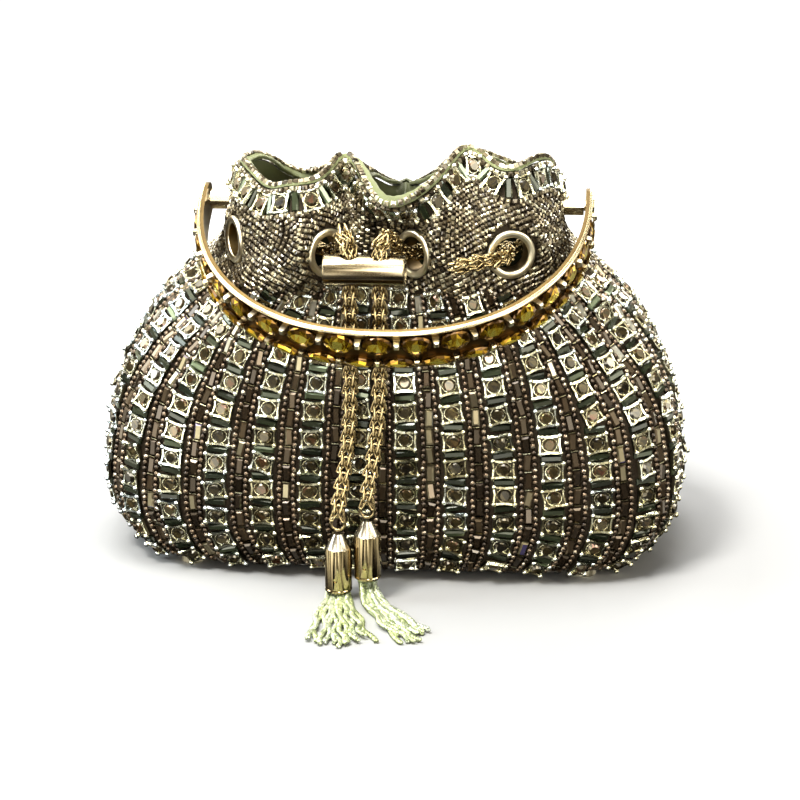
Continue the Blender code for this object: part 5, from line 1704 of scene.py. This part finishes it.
class POTLI_OT_slider(bpy.types.Operator):
    """Make the polished barrel that slides on the two ends of the chain"""

    bl_idname = "potli.slider"
    bl_label = "Slider"

    def execute(self, context):
        half, radius = SLIDER_LENGTH / 2.0, SLIDER_RADIUS
        profile = [(0.0, half - 0.5), (radius - 1.5, half - 0.5), (radius - 1.3, half)]
        profile += [(radius - 0.7 + 0.7 * math.sin(a), half - 0.7 + 0.7 * math.cos(a))
                    for a in np.linspace(0.0, math.pi / 2.0, 6)]
        profile += [(r, -h) for r, h in reversed(profile)]
        made = spun("slider_barrel", profile, 64, 35.0)
        made.data.transform(axes_at((SLIDER_X, SLIDER_Y, SLIDER_Z), (1.0, 0.0, 0.0)))
        for side in (-1.0, 1.0):
            spot = np.array((SLIDER_X + side * STRAND_SPACING / 2.0, SLIDER_Y, SLIDER_Z)) + SHIFT
            bored(made, vertices=32, radius=CHAIN_RADIUS + SLIDER_BORE_CLEARANCE,
                  depth=2.0 * radius + 4.0, location=spot)
        in_place(made, Matrix(), "slider_gold")
        dressed(smoothed(made, 30.0), "slider", "slider")
        return {"FINISHED"}


class POTLI_OT_handle(bpy.types.Operator):
    """Make the arch handle with its rails, claws and two rows of amber stones"""

    bl_idname = "potli.handle"
    bl_label = "Handle"

    def execute(self, context):
        self.total, self.at = handle_line()
        self.turn = np.array(rest_turn())
        channel = BAND_WIDTH / 2.0 - RAIL_WIDTH - STONE_MARGIN
        high, low = channel - OVAL_WIDTH / 2.0, MARQUISE_WIDTH / 2.0 - channel
        dice = np.random.default_rng(9)
        dressed(self.band(), "handle", "handle")
        # On the stones the last amount paints a highlight in the middle of each stone and shade at
        # its edges.
        for name, stone, extra, place, finish, painted_middle_light in (
                ("handle_ovals", self.oval_unit(), 2, high, "amber_glass", 0.55),
                ("handle_marquises", self.marquise_unit(), 3, low - 0.9, "amber_glass", 0.55),
                ("handle_claws", self.claw_unit(), 3, high + 0.5, "eyelet_gold", 0.0),
                ("handle_lower_claws", self.claw_unit(), 2, low - 0.2, "handle_gold", 0.0)):
            made = self.row(name, stone, OVAL_COUNT + extra, place, dice, finish, painted_middle_light)
            dressed(made, None, "handle")
        return {"FINISHED"}

    def section(self, width):
        """Outline of the band with its rounded rails: (place across, rise)."""
        half, low, rail = width / 2.0, BAND_THICKNESS, RAIL_WIDTH
        top = [(-half + rail * s, math.sin(math.pi * s) ** 0.5)
               for s in (0.12, 0.3, 0.5, 0.7, 0.88)]
        ends = [(-half, 0.3), (-half, low)]
        return (ends + [(a, low + RAIL_HEIGHT * 0.3 * h) for a, h in top]
                + [(rail - half, low - 0.1), (half - rail, low - 0.1)]
                + [(-a, low + RAIL_HEIGHT * h) for a, h in reversed(top)]
                + [(-a, h) for a, h in reversed(ends)])

    def band(self):
        """The band swept along the arch between two round eyes."""
        marks = np.linspace(0.0, self.total, 220)
        spots, _, outwards = self.at(marks)
        shares = np.minimum(1.0, 4.0 * np.minimum(marks, self.total - marks) / self.total)
        widths = BAND_END_WIDTH + (BAND_WIDTH - BAND_END_WIDTH) * shares
        eyes = [[((sign * HANDLE_HALF_WIDTH, rise), (sign, 0.0),
                  2.0 * math.sqrt(max((BAND_END_WIDTH / 2.0) ** 2 - rise ** 2, 0.0)))
                 for rise in HANDLE_TAIL * np.sin(np.linspace(math.pi / 2.0, 0.12, 9))]
                for sign in (1.0, -1.0)]
        stations = eyes[0] + list(zip(spots, outwards, widths)) + eyes[1][::-1]
        points = [(spot[0] + outward[0] * rise, spot[1] + outward[1] * rise, across)
                  for spot, outward, width in stations for across, rise in self.section(width)]
        sides, last = len(points) // len(stations), len(stations) - 1
        faces = [(k * sides + s, k * sides + t, (k + 1) * sides + t, (k + 1) * sides + s)
                 for k in range(last) for s, t in zip(range(sides), [*range(1, sides), 0])]
        # All faces but the tall rail's and the two ends take the near-black gold: painted shade in
        # the channel under the stones and on the rest of the band.
        painted_shade_faces = [int(n % sides not in range(8, 14)) for n in range(len(faces))] + [0, 0]
        faces += [tuple(range(sides - 1, -1, -1)), tuple(range(last * sides, (last + 1) * sides))]
        points = np.array(points) @ self.turn[:3, :3].T + self.turn[:3, 3]
        made = mesh_object("handle_band", points, faces, "handle_gold")
        made.data.materials.append(known("channel_gold"))
        made.data.polygons.foreach_set("material_index", painted_shade_faces)
        alone(made)
        bpy.ops.object.mode_set(mode="EDIT")
        bpy.ops.mesh.select_all(action="SELECT")
        bpy.ops.mesh.normals_make_consistent(inside=False)
        close_edit(made, 40.0)
        bored(made, vertices=24, radius=(PIVOT_SHANK_RADIUS + PIVOT_BORE_CLEARANCE) * MM,
              depth=0.2, location=(0.0, (PIVOT_Y + SHIFT[1]) * MM, PIVOT_Z * MM),
              rotation=(0.0, math.pi / 2.0, 0.0))
        return made

    def row(self, name, stone, count, across_place, dice, finish, painted_middle_light):
        pitch = STONE_PITCH * OVAL_COUNT / (OVAL_COUNT + 2)
        marks = self.total / 2.0 + (np.arange(count) - (count - 1) / 2.0) * pitch
        spots, along, outward = self.at(marks)
        level = np.zeros((count, 1))
        centre = np.hstack((spots + outward * BAND_THICKNESS, level + across_place))
        frames = [centre @ self.turn[:3, :3].T + self.turn[:3, 3]]
        frames += [v @ self.turn[:3, :3].T
                   for v in (np.hstack((-along, level)), np.tile((0.0, 0.0, 1.0), (count, 1)),
                             np.hstack((outward, level)))]
        return copies(name, stone, tilted(frames, 0.03, dice),
                      0.56 + 0.16 * dice.random((count, 1)), finish, None, 0.6, painted_middle_light)

    def facets(self, made, length, width):
        """Turn a low cylinder into a faceted stone of this length and width."""
        pick(made, lambda c: True, "verts")
        bpy.ops.transform.resize(value=(length / 2.0, width / 2.0, 1.0))
        pick(made, lambda c, n: n.z > 0.9)
        bpy.ops.mesh.inset(thickness=0.45, depth=0.0)
        bpy.ops.transform.translate(value=(0.0, 0.0, 0.75))
        bpy.ops.transform.rotate(value=0.12, orient_axis="Z", center_override=(0.0, 0.0, 0.0))
        bpy.ops.mesh.inset(thickness=0.2 * width, depth=0.0)
        bpy.ops.transform.translate(value=(0.0, 0.0, 0.55))
        bpy.ops.mesh.select_all(action="SELECT")
        bpy.ops.mesh.quads_convert_to_tris(quad_method="SHORTEST_DIAGONAL", ngon_method="BEAUTY")
        return unit_of(close_edit(made))

    def oval_unit(self):
        made = primitive("cylinder", "oval", vertices=14, radius=1.0, depth=1.1,
                         location=(0.0, 0.0, 0.45))
        return self.facets(made, 1.08 * OVAL_LENGTH, 1.12 * OVAL_WIDTH)

    def marquise_unit(self):
        made = primitive("cylinder", "marquise", vertices=12, radius=1.0, depth=1.1,
                         location=(0.0, 0.0, 0.45))
        pick(made, lambda c: abs(c.x) < 0.9, "verts")
        bpy.ops.transform.resize(value=(1.0, 0.92, 1.0))
        return self.facets(made, MARQUISE_LENGTH, MARQUISE_WIDTH)

    def claw_unit(self):
        """Four-sided claw between two stones, with a bright point."""
        made = primitive("cube", "claw", scale=(2.2, 2.7, 2.4), size=1.0, location=(0.0, 0.0, 1.2))
        pick(made, lambda c, n: n.z > 0.9)
        bpy.ops.transform.resize(value=(0.75, 0.75, 1.0))
        bpy.ops.mesh.inset(thickness=0.35, depth=0.0)
        bpy.ops.transform.translate(value=(0.0, 0.0, 0.45))
        return unit_of(close_edit(made))


class POTLI_OT_hardware(bpy.types.Operator):
    """Give the carried-over posts, screws, nuts, washers, feet and board their finishes"""

    bl_idname = "potli.hardware"
    bl_label = "Hardware finishes"

    def execute(self, context):
        for start, finish in (("foot_", "eyelet_gold"), ("pivot_", "handle_gold"),
                              ("eyelet_washer", "eyelet_gold"), ("base_board", "stiff_board")):
            for name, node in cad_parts.items():
                if name.startswith(start):
                    node.data.materials.clear()
                    node.data.materials.append(known(finish))
        return {"FINISHED"}


class POTLI_PT_panel(bpy.types.Panel):
    """Sizes, colours and steps of the pouch"""

    bl_label = "Potli pouch"
    bl_idname = "POTLI_PT_panel"
    bl_space_type = "VIEW_3D"
    bl_region_type = "UI"
    bl_category = "Potli"

    def draw(self, context):
        layout = self.layout
        for group in (context.scene.potli_sizes, context.scene.potli_colours):
            box = layout.box()
            for name in group.__annotations__:
                box.prop(group, name)
        for step in STEPS:
            layout.operator(f"potli.{step}")


STEPS = ("stage", "chains", "cloth", "lining", "stones", "neck", "eyelets", "slider", "handle",
         "hardware")
CLASSES = (PouchSizes, PouchColours, POTLI_OT_stage, POTLI_OT_chains, POTLI_OT_cloth,
           POTLI_OT_lining, POTLI_OT_stones, POTLI_OT_neck, POTLI_OT_eyelets, POTLI_OT_slider,
           POTLI_OT_handle, POTLI_OT_hardware, POTLI_PT_panel)


def register():
    for item in CLASSES:
        bpy.utils.register_class(item)
    bpy.types.Scene.potli_sizes = PointerProperty(type=PouchSizes)
    bpy.types.Scene.potli_colours = PointerProperty(type=PouchColours)


def unregister():
    del bpy.types.Scene.potli_colours
    del bpy.types.Scene.potli_sizes
    for item in reversed(CLASSES):
        bpy.utils.unregister_class(item)


def main():
    register()
    for step in STEPS:
        getattr(bpy.ops.potli, step)()
    alone()
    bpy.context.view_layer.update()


if __name__ == "__main__":
    main()
